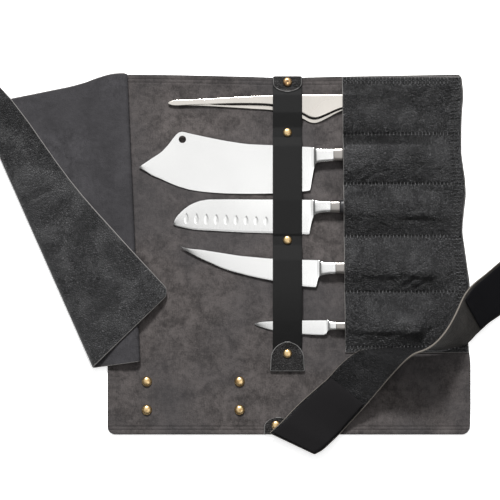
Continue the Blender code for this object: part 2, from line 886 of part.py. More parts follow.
def band_rows():
    """Grid of the band's middle surface."""
    surface = band_surface(BAND_THICK / 2)
    stations = set()
    for low, high in band_fixed():
        bend = BAND_THICK / 4
        for place in (low, low + bend, (low + high) / 2, high - bend, high):
            stations.add(round(place, 5))
    places = [BAND_MIDDLE + side * BAND_WIDTH / 2 for side in (-1, 0, 1)]
    for x in places:
        for place, _ in tool_tops(x):
            stations.add(round(place - BAND_THICK / 2, 5))
            stations.add(round(place, 5))
            stations.add(round(place + BAND_THICK / 2, 5))
    kept = []
    for station in sorted(stations):
        if not kept or station - kept[-1] > 0.0003:
            kept.append(station)
    return [[Vector((x, y, surface(x, y))) for x in places] for y in kept]


# Tabs

# Share of a tab's length from its straight end, and its half width there as a share of the whole one
TAB_ROWS = [
    (0.0, 1.0), (0.2, 1.0), (0.42, 1.0), (0.54, 0.985), (0.66, 0.93), (0.77, 0.84), (0.86, 0.71),
    (0.93, 0.54), (0.975, 0.35), (1.0, 0.17),
]


def tab_rows(middle, start, length, width, taper, height):
    """Grid of a tab's middle surface: straight at its start, round at its far end."""
    rows = []
    for share, wide in TAB_ROWS:
        y = start + share * length
        half = width / 2 * wide * (1 - taper * share)
        row = []
        for side in (-1.0, -0.5, 0.0, 0.5, 1.0):
            x = middle + side * half
            row.append(Vector((x, y, height(x, y))))
        rows.append(row)
    return rows


# Blade flap

# Corners of the folds in the lying flap: at the lower and the upper end, distance right of the sewn
# edge as a share of the sheet's width, and distance above that end as a share of its height
FLAP_LINES = {
    "hinge": (0.1775, -0.011, 0.111, 0.007),
    "fold": (-0.085, -0.036, -0.699, -0.1035),
    "edge": (0.327, 0.2326, -0.614, -0.011),
}
# Share along the free edge, and how far it bows in, as a share of the sheet's height
EDGE_BOW = [(0.0, 0.0), (0.1, 0.0043), (0.2, 0.0093), (0.31, 0.0135), (0.40, 0.0172), (0.47, 0.0187),
            (0.54, 0.0174), (0.62, 0.013), (0.70, 0.0064), (0.80, -0.0024), (0.90, -0.0072), (1.0, -0.003)]
FLAP_ROWS = (
    0.0, 0.012, 0.03, 0.08, 0.16, 0.26, 0.36, 0.46, 0.56, 0.66, 0.76, 0.86, 0.94, 0.975, 0.99, 1.0)
FOLD_STEPS = (-1.0, -0.66, -0.33, 0.0, 0.33, 0.66, 1.0)
# Height of the turned-over layer over the one below it, as a share of the sheet's thickness
FOLD_CLOSE = 1.45


def flap_line(name, share):
    """Plan point of a fold line or of the free edge, from the lower end up."""
    low_x, low_y, high_x, high_y = FLAP_LINES[name]
    left = -PANEL_LENGTH / 2
    top = PANEL_WIDTH / 2 - FLAP_TOP_INSET
    low = Vector((left + low_x * FLAP_WIDTH, top - FLAP_HEIGHT + low_y * FLAP_HEIGHT))
    high = Vector((left + high_x * FLAP_WIDTH, top + high_y * FLAP_HEIGHT))
    point = low.lerp(high, share)
    if name == "edge":
        along = (high - low).normalized()
        inward = Vector((-along.y, along.x))
        point += inward * table_value(EDGE_BOW, share, 1) * FLAP_HEIGHT
    return point


def flap_fold(name):
    """Origin, direction and outward normal of a fold line on the plan."""
    low = flap_line(name, 0.0)
    along = (flap_line(name, 1.0) - low).normalized()
    right = Vector((along.y, -along.x))
    return low, along, right


def flap_ground(point):
    """Middle height of the layer that leaves the hinge and comes down to the floor."""
    origin, along, right = flap_fold("hinge")
    top = SHEET_BASE + FLAP_THICK / 2 + 2 * HINGE_RADIUS
    floor = LAYER_GAP + FLAP_THICK / 2
    away = -(point - origin).dot(right)
    edge = origin.x + along.x / along.y * (point.y - origin.y)
    run = edge - (-PANEL_LENGTH / 2 - FLAP_DROP_RUN)
    if away <= 0:
        return top
    return mix(top, floor, smooth(away / run))


def flap_point(flat):
    """Place of a point of the flat sheet, laid out as the layer left of the hinge."""
    hinge_origin, _, hinge_right = flap_fold("hinge")
    fold_origin, _, fold_right = flap_fold("fold")
    past_hinge = (flat - hinge_origin).dot(hinge_right)
    past_fold = -(flat - fold_origin).dot(fold_right)
    quarter = math.pi / 2 * HINGE_RADIUS
    if past_hinge > -quarter:
        low = SHEET_BASE + FLAP_THICK / 2
        top = low + 2 * HINGE_RADIUS
        if past_hinge >= quarter:
            plan = flat - hinge_right * 2 * past_hinge
            return Vector((plan.x, plan.y, low))
        angle = (past_hinge + quarter) / HINGE_RADIUS
        shift = -quarter + HINGE_RADIUS * math.sin(angle) - past_hinge
        plan = flat + hinge_right * shift
        return Vector((plan.x, plan.y, top - HINGE_RADIUS * (1 - math.cos(angle))))
    quarter = math.pi / 2 * FOLD_RADIUS
    if past_fold < -quarter:
        return Vector((flat.x, flat.y, flap_ground(flat)))
    if past_fold < quarter:
        angle = (past_fold + quarter) / FOLD_RADIUS
        shift = -quarter + FOLD_RADIUS * math.sin(angle) - past_fold
        plan = flat - fold_right * shift
        height = flap_ground(plan) + FOLD_RADIUS * (1 - math.cos(angle))
        return Vector((plan.x, plan.y, height))
    plan = flat + fold_right * 2 * past_fold
    over = past_fold - quarter
    rise = mix(2 * FOLD_RADIUS, FOLD_CLOSE * FLAP_THICK, smooth(over / FOLD_CLOSE_RUN))
    past = (plan - hinge_origin).dot(hinge_right)
    droop = FLAP_TIP_DROOP * smooth((past - FLAP_DROOP_START) / FLAP_DROOP_RUN)
    return Vector((plan.x, plan.y, flap_ground(plan) + rise - droop))


def flap_rows():
    """Grid of the flap's middle surface, sewn edge to free edge."""
    hinge_origin, hinge_along, _ = flap_fold("hinge")
    fold_origin, fold_along, _ = flap_fold("fold")
    rows = []
    for share in FLAP_ROWS:
        hinge = flap_line("hinge", share)
        fold = flap_line("fold", share)
        left = -PANEL_LENGTH / 2 + FLAP_SEWN_INSET
        top = PANEL_WIDTH / 2 - FLAP_TOP_INSET
        sewn = Vector((left, top - FLAP_HEIGHT * (1 - share)))
        start = reflect(sewn, hinge_origin, hinge_along)
        end = reflect(flap_line("edge", share), fold_origin, fold_along)
        points = [start, start.lerp(hinge, 0.4)]
        for roll in reversed(FOLD_STEPS):
            away = roll * math.pi / 2 * HINGE_RADIUS
            toward = (start - hinge) if away > 0 else (hinge - fold)
            points.append(hinge + toward.normalized() * away)
        for step in (0.12, 0.26, 0.42, 0.60, 0.80):
            points.append(hinge.lerp(fold, step))
        for roll in FOLD_STEPS:
            away = roll * math.pi / 2 * FOLD_RADIUS
            toward = (end - fold) if away > 0 else (fold - hinge)
            points.append(fold + toward.normalized() * away)
        for step in (0.15, 0.30, 0.45, 0.60, 0.75, 0.88, 0.94, 0.98, 1.0):
            points.append(fold.lerp(end, step))
        rows.append(points)
    rounded_rows(rows, FLAP_CORNER)
    return [[flap_point(point) for point in row] for row in rows]


def rounded_rows(rows, radius):
    """Round the two free corners of a flat grid, at the last column of its first and last row."""
    for first, order in ((rows[0], 1), (rows[-1], -1)):
        corner = first[-1].copy()
        inward = (first[-6] - corner).normalized()
        lines = rows if order == 1 else list(reversed(rows))
        upward = (lines[4][-1] - corner).normalized()
        basis = Matrix(((inward.x, upward.x), (inward.y, upward.y))).inverted()
        for line in lines[:5]:
            for place, point in enumerate(line):
                across, up = basis @ (point - corner)
                if across < radius and up < radius and across > -0.001 and up > -0.001:
                    side = 1 - max(across, 0) / radius
                    rise = 1 - max(up, 0) / radius
                    new_side = side * math.sqrt(1 - rise * rise / 2)
                    new_rise = rise * math.sqrt(1 - side * side / 2)
                    shift = inward * (1 - new_side) * radius + upward * (1 - new_rise) * radius
                    line[place] = corner + shift


# Closure strap

# Plan of its two long edges as shares of the panel's length and width, from the lower left end on:
# the edge that lies to the right and comes over to the left, then the other, and the width share.
# Where the edges are closer on the plan than the width, the strap stands on its second edge
STRAP_ROWS = [
    (0.5700, -0.0545, 0.4475, 0.0040, 1.00),
    (0.5900, -0.0435, 0.4670, 0.0210, 1.00),
    (0.6120, -0.0240, 0.4860, 0.0400, 1.00),
    (0.6380, 0.0010, 0.5220, 0.0780, 1.00),
    (0.6685, 0.0350, 0.5663, 0.1184, 1.00),
    (0.7044, 0.0752, 0.6077, 0.1546, 1.00),
    (0.7403, 0.1184, 0.6436, 0.1936, 1.00),
    (0.7735, 0.1602, 0.6906, 0.2298, 1.00),
    (0.7983, 0.1894, 0.7293, 0.2350, 1.00),
    (0.8204, 0.2123, 0.7735, 0.2373, 1.00),
    (0.8425, 0.2284, 0.8177, 0.2393, 1.00),
    (0.8725, 0.2400, 0.8730, 0.2395, 1.00),
    (0.9006, 0.2591, 0.9199, 0.2368, 1.00),
    (0.9254, 0.2869, 0.9613, 0.2451, 1.00),
    (0.9461, 0.3189, 0.9917, 0.2549, 0.99),
    (0.9641, 0.3538, 1.0138, 0.2772, 0.97),
    (0.9820, 0.3886, 1.0331, 0.2953, 0.95),
    (1.0055, 0.4164, 1.0525, 0.3120, 0.93),
    (1.0387, 0.4429, 1.0884, 0.3370, 0.92),
    (1.0815, 0.4791, 1.1354, 0.3774, 0.91),
    (1.1246, 0.5153, 1.1790, 0.4136, 0.90),
    (1.1630, 0.5487, 1.2170, 0.4470, 0.90),
]
STRAP_COLUMNS = (0.0, 0.25, 0.5, 0.75, 1.0)
# Lift that keeps a patch clear of the strap's flat faces where it twists, as a share of the turn
TWIST_SHARE = 0.18
# Width on the plan from which the strap counts as lying, as a share of its width
LYING_SHARE = 0.75
# Reach of a snap's cap under the strap, as a share of its radius
SNAP_REACH = 1.6


def resting_height(x, y):
    """Highest surface within a short reach of a plan point."""
    best = 0.0
    snap_x, snap_y = lower_snap_place()
    tab_top = SHEET_BASE + TAB_THICK
    for step in range(9):
        angle = math.pi * step / 4
        reach = REST_REACH if step < 8 else 0.0
        place_x = x + reach * math.cos(angle)
        place_y = y + reach * math.sin(angle)
        inside = abs(place_y) < PANEL_WIDTH / 2
        if inside and -PANEL_LENGTH / 2 < place_x < right_edge_x(place_y):
            best = max(best, PANEL_THICK)
        covered = pocket_top(place_x, place_y)
        if covered is not None:
            best = max(best, covered)
        if math.hypot(place_x - snap_x, place_y - snap_y) < CAP_RADIUS * SNAP_REACH:
            best = max(best, tab_top + LAYER_GAP + CAP_HEIGHT)
        tab_left = -PANEL_LENGTH / 2 + LOWER_TAB_LEFT
        beside_tab = tab_left < place_x < tab_left + LOWER_TAB_WIDTH
        if beside_tab and 0 < place_y + PANEL_WIDTH / 2 < LOWER_TAB_LENGTH:
            best = max(best, tab_top)
    return best


def refined(pairs):
    """Pairs of edge points with one more, on a smooth curve, between each two."""
    closer = [pairs[0]]
    for index in range(len(pairs) - 1):
        before = pairs[max(index - 1, 0)]
        start, end = pairs[index], pairs[index + 1]
        after = pairs[min(index + 2, len(pairs) - 1)]
        between = []
        for side in (0, 1):
            outer = before[side] + after[side]
            inner = start[side] + end[side]
            between.append((inner * 9 - outer) / 16)
        closer += [tuple(between), end]
    return closer


def strap_edges():
    """Both long edges of the strap's middle surface."""
    edges = []
    for right_u, right_v, left_u, left_v, share in STRAP_ROWS:
        right = Vector((panel_x(right_u), panel_y(right_v)))
        left = Vector((panel_x(left_u), panel_y(left_v)))
        low = resting_height(left.x, left.y)
        high = resting_height(right.x, right.y)
        centre = right.lerp(left, 0.5)
        if (right - left).length > STRAP_WIDTH * LYING_SHARE:
            middle = resting_height(centre.x, centre.y)
            low = max(low, 2 * middle - high)
        width = STRAP_WIDTH * share
        rise = math.sqrt(max(width ** 2 - (right - left).length_squared, 0.0))
        edges.append([right, max(high, low + rise), left, low])
    for _ in range(2):
        heights = [(edge[1], edge[3]) for edge in edges]
        for index in range(1, len(edges) - 1):
            for slot, column in ((1, 0), (3, 1)):
                around = (heights[index - 1][column] + heights[index + 1][column]) / 2
                edges[index][slot] = max(heights[index][column], mix(heights[index][column], around, 0.5))
    lift = LAYER_GAP + STRAP_THICK / 2
    points = []
    for right, high, left, low in edges:
        first = Vector((right.x, right.y, high + lift))
        second = Vector((left.x, left.y, low + lift))
        points.append((first, second))
    return refined(points)


def strap_rows():
    """Grid of the strap's middle surface."""
    rows = []
    for right, left in strap_edges():
        rows.append([right.lerp(left, share) for share in STRAP_COLUMNS])
    return rows


def patch_rows(from_start, reach):
    """Grid of a patch that lies on the strap's upper side, over a length from one of its ends."""
    edges = strap_edges()
    if not from_start:
        edges = list(reversed(edges))
    kept = []
    length = 0.0
    for index, (right, left) in enumerate(edges):
        middle = right.lerp(left, 0.5)
        if index:
            before = edges[index - 1][0].lerp(edges[index - 1][1], 0.5)
            step = (middle - before).length
            if length + step > reach:
                share = (reach - length) / step
                last = edges[index - 1]
                kept.append((last[0].lerp(right, share), last[1].lerp(left, share)))
                break
            length += step
        kept.append((right, left))
    first, second = kept[0], kept[1]
    step = ((first[0] - second[0]).length + (first[1] - second[1]).length) / 2
    share = PATCH_MARGIN / step
    kept[0] = (first[0].lerp(second[0], share), first[1].lerp(second[1], share))
    lift = STRAP_THICK / 2 + PATCH_THICK / 2 + LAYER_GAP
    rows = []
    for index, (right, left) in enumerate(kept):
        before = kept[max(index - 1, 0)]
        after = kept[min(index + 1, len(kept) - 1)]
        along = after[0] + after[1] - before[0] - before[1]
        across = left - right
        normal = along.cross(across).normalized()
        if normal.z < 0:
            normal = -normal
        turn = after[1] - after[0] - before[1] + before[0]
        clear = lift + abs(turn.dot(normal)) * TWIST_SHARE
        inset = PATCH_MARGIN / across.length
        row = []
        for column in STRAP_COLUMNS:
            place = right.lerp(left, inset + (1 - 2 * inset) * column)
            row.append(place + normal * clear)
        rows.append(row)
    return rows


# Assembly

def fastener(name, x, y, seat, radius, height, material, collection):
    """Domed cap with a post that goes down through the layers to the panel's underside."""
    profile = []
    for step in range(5):
        angle = math.pi / 2 * step / 4
        profile.append((radius * math.sin(angle), CAP_RIM + (height - CAP_RIM) * math.cos(angle)))
    profile.append((radius, 0.0))
    profile.append((POST_RADIUS, 0.0))
    profile.append((POST_RADIUS, -seat))
    profile.append((0.0, -seat))
    return turned(name, profile, (x, y, seat), material, collection)


def build():
    for thing in list(bpy.data.objects):
        bpy.data.objects.remove(thing)
    roll = bpy.data.collections.new("knife_roll")
    cutters = bpy.data.collections.new("cutters")
    bpy.context.scene.collection.children.link(roll)
    bpy.context.scene.collection.children.link(cutters)

    suede = make_material("panel_suede", (85, 82, 81), 0.95, 0.0)
    flap_leather = make_material("flap_leather", (68, 68, 70), 0.8, 0.0)
    grain = make_material("black_grain_leather", (56, 56, 57), 0.5, 0.0)
    strap_leather = make_material("strap_leather", (40, 40, 40), 0.55, 0.0)
    woven = make_material("black_band", (38, 38, 38), 0.9, 0.0)
    hooks = make_material("hook_tape", (32, 31, 32), 0.9, 0.0)
    steel = make_material("polished_steel", (225, 224, 222), 0.2, 1.0)
    ring_steel = make_material("brushed_steel", (150, 147, 144), 0.4, 1.0)
    handle_black = make_material("handle_plastic", (30, 30, 32), 0.5, 0.0)
    brass = make_material("aged_brass", (150, 126, 88), 0.35, 1.0)

    panel = plate("base_panel", panel_outline(), 0.0, PANEL_THICK, suede, roll)
    sheet("pocket_panel", pocket_rows(), POCKET_THICK, grain, roll)
    sheet("blade_flap", flap_rows(), FLAP_THICK, flap_leather, roll)
    band = sheet("blade_band", band_rows(), BAND_THICK, woven, roll)
    sheet("closure_strap", strap_rows(), STRAP_THICK, strap_leather, roll)
    sheet("hook_patch", patch_rows(True, HOOK_LENGTH), PATCH_THICK, hooks, roll)
    sheet("loop_patch", patch_rows(False, LOOP_LENGTH), PATCH_THICK, hooks, roll)

    over_band = SHEET_BASE + BAND_THICK + LAYER_GAP
    on_band_height = band_surface(BAND_THICK + 1.5 * LAYER_GAP + TAB_THICK / 2)

    def on_panel_height(x, y):
        return SHEET_BASE + TAB_THICK / 2

    top_rows = tab_rows(
        BAND_MIDDLE, top_tab_start(), -TOP_TAB_LENGTH, TOP_TAB_WIDTH, 0.0, on_band_height)
    top_tab = sheet("band_top_tab", top_rows, TAB_THICK, grain, roll)
    end_rows = tab_rows(
        BAND_MIDDLE, end_tab_start(), END_TAB_LENGTH, END_TAB_WIDTH, END_TAB_TAPER, on_band_height)
    end_tab = sheet("band_end_tab", end_rows, TAB_THICK, grain, roll)
    lower_middle = -PANEL_LENGTH / 2 + LOWER_TAB_LEFT + LOWER_TAB_WIDTH / 2
    lower_rows = tab_rows(
        lower_middle, -PANEL_WIDTH / 2 + LOWER_TAB_INSET, LOWER_TAB_LENGTH, LOWER_TAB_WIDTH, 0.0,
        on_panel_height)
    lower_tab = sheet("lower_edge_tab", lower_rows, TAB_THICK, grain, roll)

    on_band = over_band
    on_tab = over_band + TAB_THICK + LAYER_GAP
    on_lower = SHEET_BASE + TAB_THICK + LAYER_GAP
    cap = (CAP_RADIUS, CAP_HEIGHT)
    stud = (STUD_RADIUS, STUD_HEIGHT)
    rivet_low, rivet_high = rivet_heights()
    snap_x, snap_y = lower_snap_place()
    fasteners = [
        ("top_tab_snap", BAND_MIDDLE, top_snap_y(), on_tab, cap, (panel, band, top_tab)),
        ("band_rivet_upper", BAND_MIDDLE, rivet_high, on_band, cap, (panel, band)),
        ("band_rivet_lower", BAND_MIDDLE, rivet_low, on_band, cap, (panel, band)),
        ("band_end_snap", BAND_MIDDLE, end_snap_y(), on_tab, cap, (panel, band, end_tab)),
        ("lower_tab_snap", snap_x, snap_y, on_lower, cap, (panel, lower_tab)),
    ]
    for index, (length_share, width_share) in enumerate(STUDS):
        x = panel_x(length_share)
        y = panel_y(width_share)
        fasteners.append((f"stud_{index + 1}", x, y, SHEET_BASE, stud, (panel,)))
    for name, x, y, seat, (radius, height), layers in fasteners:
        fastener(name, x, y, seat, radius, height, brass, roll)
        place = Matrix.Translation((x, y, 0))
        cutter = hole_cutter(name + "_hole", place, POST_RADIUS + POST_CLEARANCE, cutters)
        for layer in layers:
            drill(layer, cutter)

    for name, knife in KNIVES.items():
        place = knife_place(name)
        blade = loft(name + "_blade", blade_sections(knife), steel, roll)
        ring = loft(name + "_ring", ring_sections(knife), ring_steel, roll)
        handle = loft(name + "_handle", handle_sections(knife), handle_black, roll)
        for piece in (blade, ring, handle):
            piece.matrix_world = place
        if "hole" in knife:
            length_share, height_share, radius = knife["hole"]
            offset = (-length_share * knife["reach"], height_share * knife["height"], 0)
            drill(blade, hole_cutter(name + "_hole", place @ Matrix.Translation(offset), radius, cutters))
    loft("fish_tweezers", tweezer_sections(), steel, roll)


build()
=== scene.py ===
"""Looks of the open leather knife roll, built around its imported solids.

Sizes and shape functions repeat those of the part's source, in metres, on finer grids.
"""
import math
from functools import lru_cache

import bmesh
import bpy
import numpy as np
from mathutils import Matrix, Vector, noise


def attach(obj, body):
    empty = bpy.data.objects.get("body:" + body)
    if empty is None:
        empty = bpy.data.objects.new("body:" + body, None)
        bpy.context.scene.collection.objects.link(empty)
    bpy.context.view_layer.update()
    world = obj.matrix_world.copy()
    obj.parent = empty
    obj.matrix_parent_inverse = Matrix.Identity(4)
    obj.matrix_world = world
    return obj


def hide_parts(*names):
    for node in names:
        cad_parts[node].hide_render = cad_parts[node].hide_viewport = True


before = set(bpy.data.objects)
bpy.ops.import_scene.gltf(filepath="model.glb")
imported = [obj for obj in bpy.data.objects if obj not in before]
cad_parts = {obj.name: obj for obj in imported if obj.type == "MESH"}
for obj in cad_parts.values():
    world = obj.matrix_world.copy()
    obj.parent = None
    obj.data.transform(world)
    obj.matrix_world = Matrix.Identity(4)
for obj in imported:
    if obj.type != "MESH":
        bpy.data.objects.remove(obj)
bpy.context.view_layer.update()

# Main panel
PANEL_LENGTH = 0.4525
PANEL_WIDTH = 0.449
PANEL_THICK = 0.0025
PANEL_CORNER = 0.009

# Clearance between layers that lie on one another
LAYER_GAP = 0.0003

# Pocket panel: depth from the right edge, and the height of each pocket from the top down
POCKET_DEPTH = 0.157
POCKET_LEAN = 0.005
POCKET_THICK = 0.0018
POCKET_HEIGHTS = [0.0715, 0.0625, 0.0655, 0.0695, 0.0690]
POCKET_TOP_INSET = 0.003
EDGE_SEAM = 0.0115
POCKET_CLEARANCE = 0.0008
POCKET_EDGE_INSET = 0.0008

# Blade flap: one sheet, doubled back at its hinge and folded over again
FLAP_HEIGHT = 0.350
FLAP_WIDTH = 0.236
FLAP_THICK = 0.0020
FLAP_TOP_INSET = 0.003
FLAP_SEWN_INSET = 0.0006
HINGE_RADIUS = 0.0042
FOLD_RADIUS = 0.0036
FLAP_CORNER = 0.010
FLAP_DROP_RUN = 0.045
FLAP_TIP_DROOP = 0.0065
FLAP_DROOP_START = 0.004
FLAP_DROOP_RUN = 0.040
FOLD_CLOSE_RUN = 0.045

# Band over the blades
BAND_WIDTH = 0.0355
BAND_THICK = 0.0016
BAND_FROM_MOUTH = 0.0535
BAND_TOP_INSET = 0.0045
BAND_END_INSET = 0.002
UPPER_RIVET_RISE = 0.0024
LOWER_RIVET_DROP = 0.0040

# Leather tabs
TAB_THICK = 0.0018
TOP_TAB_WIDTH = 0.034
TOP_TAB_LENGTH = 0.0185
TOP_TAB_LIP = 0.0015
END_TAB_WIDTH = 0.0415
END_TAB_LENGTH = 0.0355
END_TAB_DROP = 0.0285
END_TAB_TAPER = 0.08
LOWER_TAB_WIDTH = 0.034
LOWER_TAB_LENGTH = 0.020
LOWER_TAB_LEFT = 0.196
LOWER_TAB_INSET = 0.0005

# Brass fasteners
CAP_RADIUS = 0.00575
CAP_HEIGHT = 0.0030
STUD_RADIUS = 0.0065
STUD_HEIGHT = 0.0042

# Closure strap
STRAP_WIDTH = 0.058
STRAP_THICK = 0.0022
PATCH_THICK = 0.0016
HOOK_LENGTH = 0.096
LOOP_LENGTH = 0.115
PATCH_MARGIN = 0.003
REST_REACH = 0.007

# Knives
BLADE_SPINE = 0.0024
BLADE_EDGE = 0.0004
RING_LENGTH = 0.0115
JOINT_GAP = 0.0003
BLADE_FLOOR_GAP = 0.0005
TIP_WIDTH = 0.004

# Tweezers
TWEEZER_REACH = 0.272
TWEEZER_PLATE = 0.0014
TWEEZER_WIDTH = 0.0279
TWEEZER_OPENING = 0.0062
TWEEZER_TO_MOUTH = 0.2176


# Colours

def linear(value):
    """Linear value of an sRGB share."""
    if value <= 0.04045:
        return value / 12.92
    return ((value + 0.055) / 1.055) ** 2.4


# Small mathematics

def mix(start, end, share):
    """Value between two others."""
    return start + (end - start) * share


def smooth(share):
    """Share eased at both ends and kept between 0 and 1."""
    share = min(max(share, 0.0), 1.0)
    return share * share * (3 - 2 * share)


def table_value(table, key, column):
    """Linear value of a column at a key, the first column, which rises."""
    if key <= table[0][0]:
        return table[0][column]
    for lower, upper in zip(table, table[1:]):
        if key <= upper[0]:
            share = (key - lower[0]) / (upper[0] - lower[0])
            return mix(lower[column], upper[column], share)
    return table[-1][column]


def reflect(point, origin, along):
    """Mirror image of a plan point across a line with a unit direction."""
    offset = point - origin
    return origin + 2 * along.dot(offset) * along - offset


# Plan of the main panel

# Height share from the lower edge, and how far the right edge is drawn in, as a share of the length
RIGHT_EDGE = [
    (0.00, 0.002), (0.08, 0.000), (0.19, 0.000), (0.26, 0.006), (0.33, 0.005), (0.41, 0.002),
    (0.47, 0.009), (0.52, 0.016), (0.57, 0.022), (0.62, 0.018), (0.67, 0.013), (0.71, 0.015),
    (0.745, 0.020), (0.79, 0.025), (0.85, 0.025), (0.90, 0.023), (0.945, 0.020), (1.00, 0.025),
]
# Length share from the left edge, and how far the top edge is drawn in, as a share of the width
TOP_EDGE = [(0.0, 0.000), (0.15, 0.001), (0.39, 0.006), (0.50, 0.009), (0.65, 0.006), (1.0, 0.000)]


def panel_x(share):
    return (share - 0.5) * PANEL_LENGTH


def panel_y(share):
    return (share - 0.5) * PANEL_WIDTH


def right_edge_x(y):
    """Right edge of the main panel at a height on the plan."""
    share = y / PANEL_WIDTH + 0.5
    return PANEL_LENGTH * (0.5 - table_value(RIGHT_EDGE, share, 1))


def top_edge_y(x):
    """Top edge of the main panel at a place along it."""
    share = x / PANEL_LENGTH + 0.5
    return PANEL_WIDTH * (0.5 - table_value(TOP_EDGE, share, 1))


# Pockets

def pocket_lines():
    """Seam heights on the plan, from the top down."""
    lines = [PANEL_WIDTH / 2 - POCKET_TOP_INSET]
    for height in POCKET_HEIGHTS:
        lines.append(lines[-1] - height)
    return lines


def mouth_x(y):
    """Mouth edge of the pocket panel at a height on the plan."""
    share = y / PANEL_WIDTH
    return PANEL_LENGTH / 2 - POCKET_DEPTH - POCKET_LEAN * share


SHEET_BASE = PANEL_THICK + LAYER_GAP

# Knives

# Each row: distance from the ring as a share of the reach, from the tip on, the spine and the edge as
# shares of the blade height above the handle's axis, and how far the section has grown to the bolster
CHEF_ROWS = [
    (1.000, -0.206, -0.216, 0.0),
    (0.970, -0.141, -0.266, 0.0),
    (0.935, -0.068, -0.332, 0.0),
    (0.887, 0.031, -0.395, 0.0),
    (0.856, 0.127, -0.440, 0.0),
    (0.793, 0.346, -0.519, 0.0),
    (0.780, 0.356, -0.530, 0.0),
    (0.737, 0.328, -0.568, 0.0),
    (0.634, 0.260, -0.610, 0.0),
    (0.531, 0.200, -0.628, 0.0),
    (0.428, 0.158, -0.632, 0.0),
    (0.304, 0.141, -0.626, 0.0),
    (0.160, 0.118, -0.595, 0.0),
    (0.122, 0.113, -0.576, 0.0),
    (0.1155, 0.111, -0.500, 0.0),
    (0.108, 0.108, -0.360, 0.03),
    (0.100, 0.105, -0.235, 0.10),
    (0.0915, 0.102, -0.160, 0.72),
    (0.080, 0.099, -0.136, 0.88),
    (0.050, 0.096, -0.122, 0.95),
    (0.000, 0.095, -0.112, 1.0),
]
SANTOKU_ROWS = [
    (1.000, -0.520, -0.530, 0.0),
    (0.981, -0.330, -0.570, 0.0),
    (0.955, -0.190, -0.600, 0.0),
    (0.924, -0.060, -0.630, 0.0),
    (0.885, 0.060, -0.665, 0.0),
    (0.828, 0.160, -0.695, 0.0),
    (0.764, 0.205, -0.710, 0.0),
    (0.637, 0.208, -0.745, 0.0),
    (0.510, 0.206, -0.770, 0.0),
    (0.350, 0.202, -0.790, 0.0),
    (0.180, 0.196, -0.812, 0.0),
    (0.137, 0.194, -0.822, 0.0),
    (0.129, 0.193, -0.700, 0.0),
    (0.118, 0.192, -0.450, 0.04),
    (0.108, 0.190, -0.310, 0.10),
    (0.099, 0.188, -0.240, 0.72),
    (0.076, 0.182, -0.200, 0.86),
    (0.040, 0.180, -0.170, 0.94),
    (0.000, 0.176, -0.165, 1.0),
]
FILLET_ROWS = [
    (1.000, 0.810, 0.795, 0.0),
    (0.972, 0.730, 0.660, 0.0),
    (0.930, 0.690, 0.520, 0.0),
    (0.856, 0.650, 0.300, 0.0),
    (0.803, 0.600, 0.170, 0.0),
    (0.740, 0.545, 0.010, 0.0),
    (0.675, 0.485, -0.120, 0.0),
    (0.610, 0.430, -0.220, 0.0),
    (0.545, 0.395, -0.315, 0.0),
    (0.404, 0.325, -0.480, 0.0),
    (0.210, 0.285, -0.685, 0.0),
    (0.128, 0.275, -0.720, 0.0),
    (0.120, 0.273, -0.600, 0.0),
    (0.113, 0.272, -0.440, 0.04),
    (0.103, 0.268, -0.330, 0.10),
    (0.092, 0.250, -0.300, 0.72),
    (0.070, 0.225, -0.270, 0.86),
    (0.035, 0.215, -0.240, 0.94),
    (0.000, 0.210, -0.235, 1.0),
]
PARING_ROWS = [
    (1.000, 0.125, 0.115, 0.0),
    (0.960, 0.195, -0.010, 0.0),
    (0.896, 0.260, -0.130, 0.0),
    (0.786, 0.300, -0.300, 0.0),
    (0.640, 0.325, -0.430, 0.0),
    (0.420, 0.360, -0.560, 0.0),
    (0.163, 0.375, -0.622, 0.0),
    (0.120, 0.374, -0.540, 0.0),
    (0.106, 0.373, -0.380, 0.05),
    (0.092, 0.365, -0.330, 0.15),
    (0.080, 0.340, -0.300, 0.75),
    (0.040, 0.305, -0.275, 0.92),
    (0.000, 0.300, -0.270, 1.0),
]
# Share along the handle, half width and half thickness as shares of the handle's largest ones
HANDLE_ROWS = [
    (0.00, 0.66, 0.84), (0.08, 0.76, 0.90), (0.25, 0.92, 0.97), (0.50, 0.94, 1.00),
    (0.72, 0.90, 0.97), (0.90, 1.00, 0.93), (0.97, 0.92, 0.82), (1.00, 0.72, 0.60),
]

# What each pocket holds, from the top down
POCKET_ORDER = ["tweezers", "chef", "santoku", "fillet", "paring"]
# Each knife: handle axis as a share of the pocket height from its upper seam, distance from the ring to
# the mouth, sizes of blade and handle, and the roll in degrees that lets its edge down. A hole in a blade
# has its place as shares of the reach and the height, and its radius
KNIVES = {
    "chef": {
        "axis_share": 0.396, "from_mouth": 0.0125,
        "reach": 0.2425, "height": 0.0784, "bolster": 0.0125, "bolster_width": 0.0164,
        "handle_length": 0.112, "handle_width": 0.0250, "handle_thick": 0.0152,
        "roll": 5.0, "rows": CHEF_ROWS, "hole": (0.777, 0.237, 0.00465),
    },
    "santoku": {
        "axis_share": 0.419, "from_mouth": 0.0170,
        "reach": 0.1963, "height": 0.0430, "bolster": 0.0118, "bolster_width": 0.0150,
        "handle_length": 0.108, "handle_width": 0.0235, "handle_thick": 0.0146,
        "roll": 10.0, "rows": SANTOKU_ROWS,
    },
    "fillet": {
        "axis_share": 0.550, "from_mouth": 0.0115,
        "reach": 0.1940, "height": 0.0340, "bolster": 0.0118, "bolster_width": 0.0152,
        "handle_length": 0.108, "handle_width": 0.0235, "handle_thick": 0.0146,
        "roll": 6.0, "rows": FILLET_ROWS,
    },
    "paring": {
        "axis_share": 0.600, "from_mouth": 0.0115,
        "reach": 0.1023, "height": 0.0185, "bolster": 0.0098, "bolster_width": 0.0106,
        "handle_length": 0.094, "handle_width": 0.0190, "handle_thick": 0.0125,
        "roll": 6.0, "rows": PARING_ROWS,
    },
}

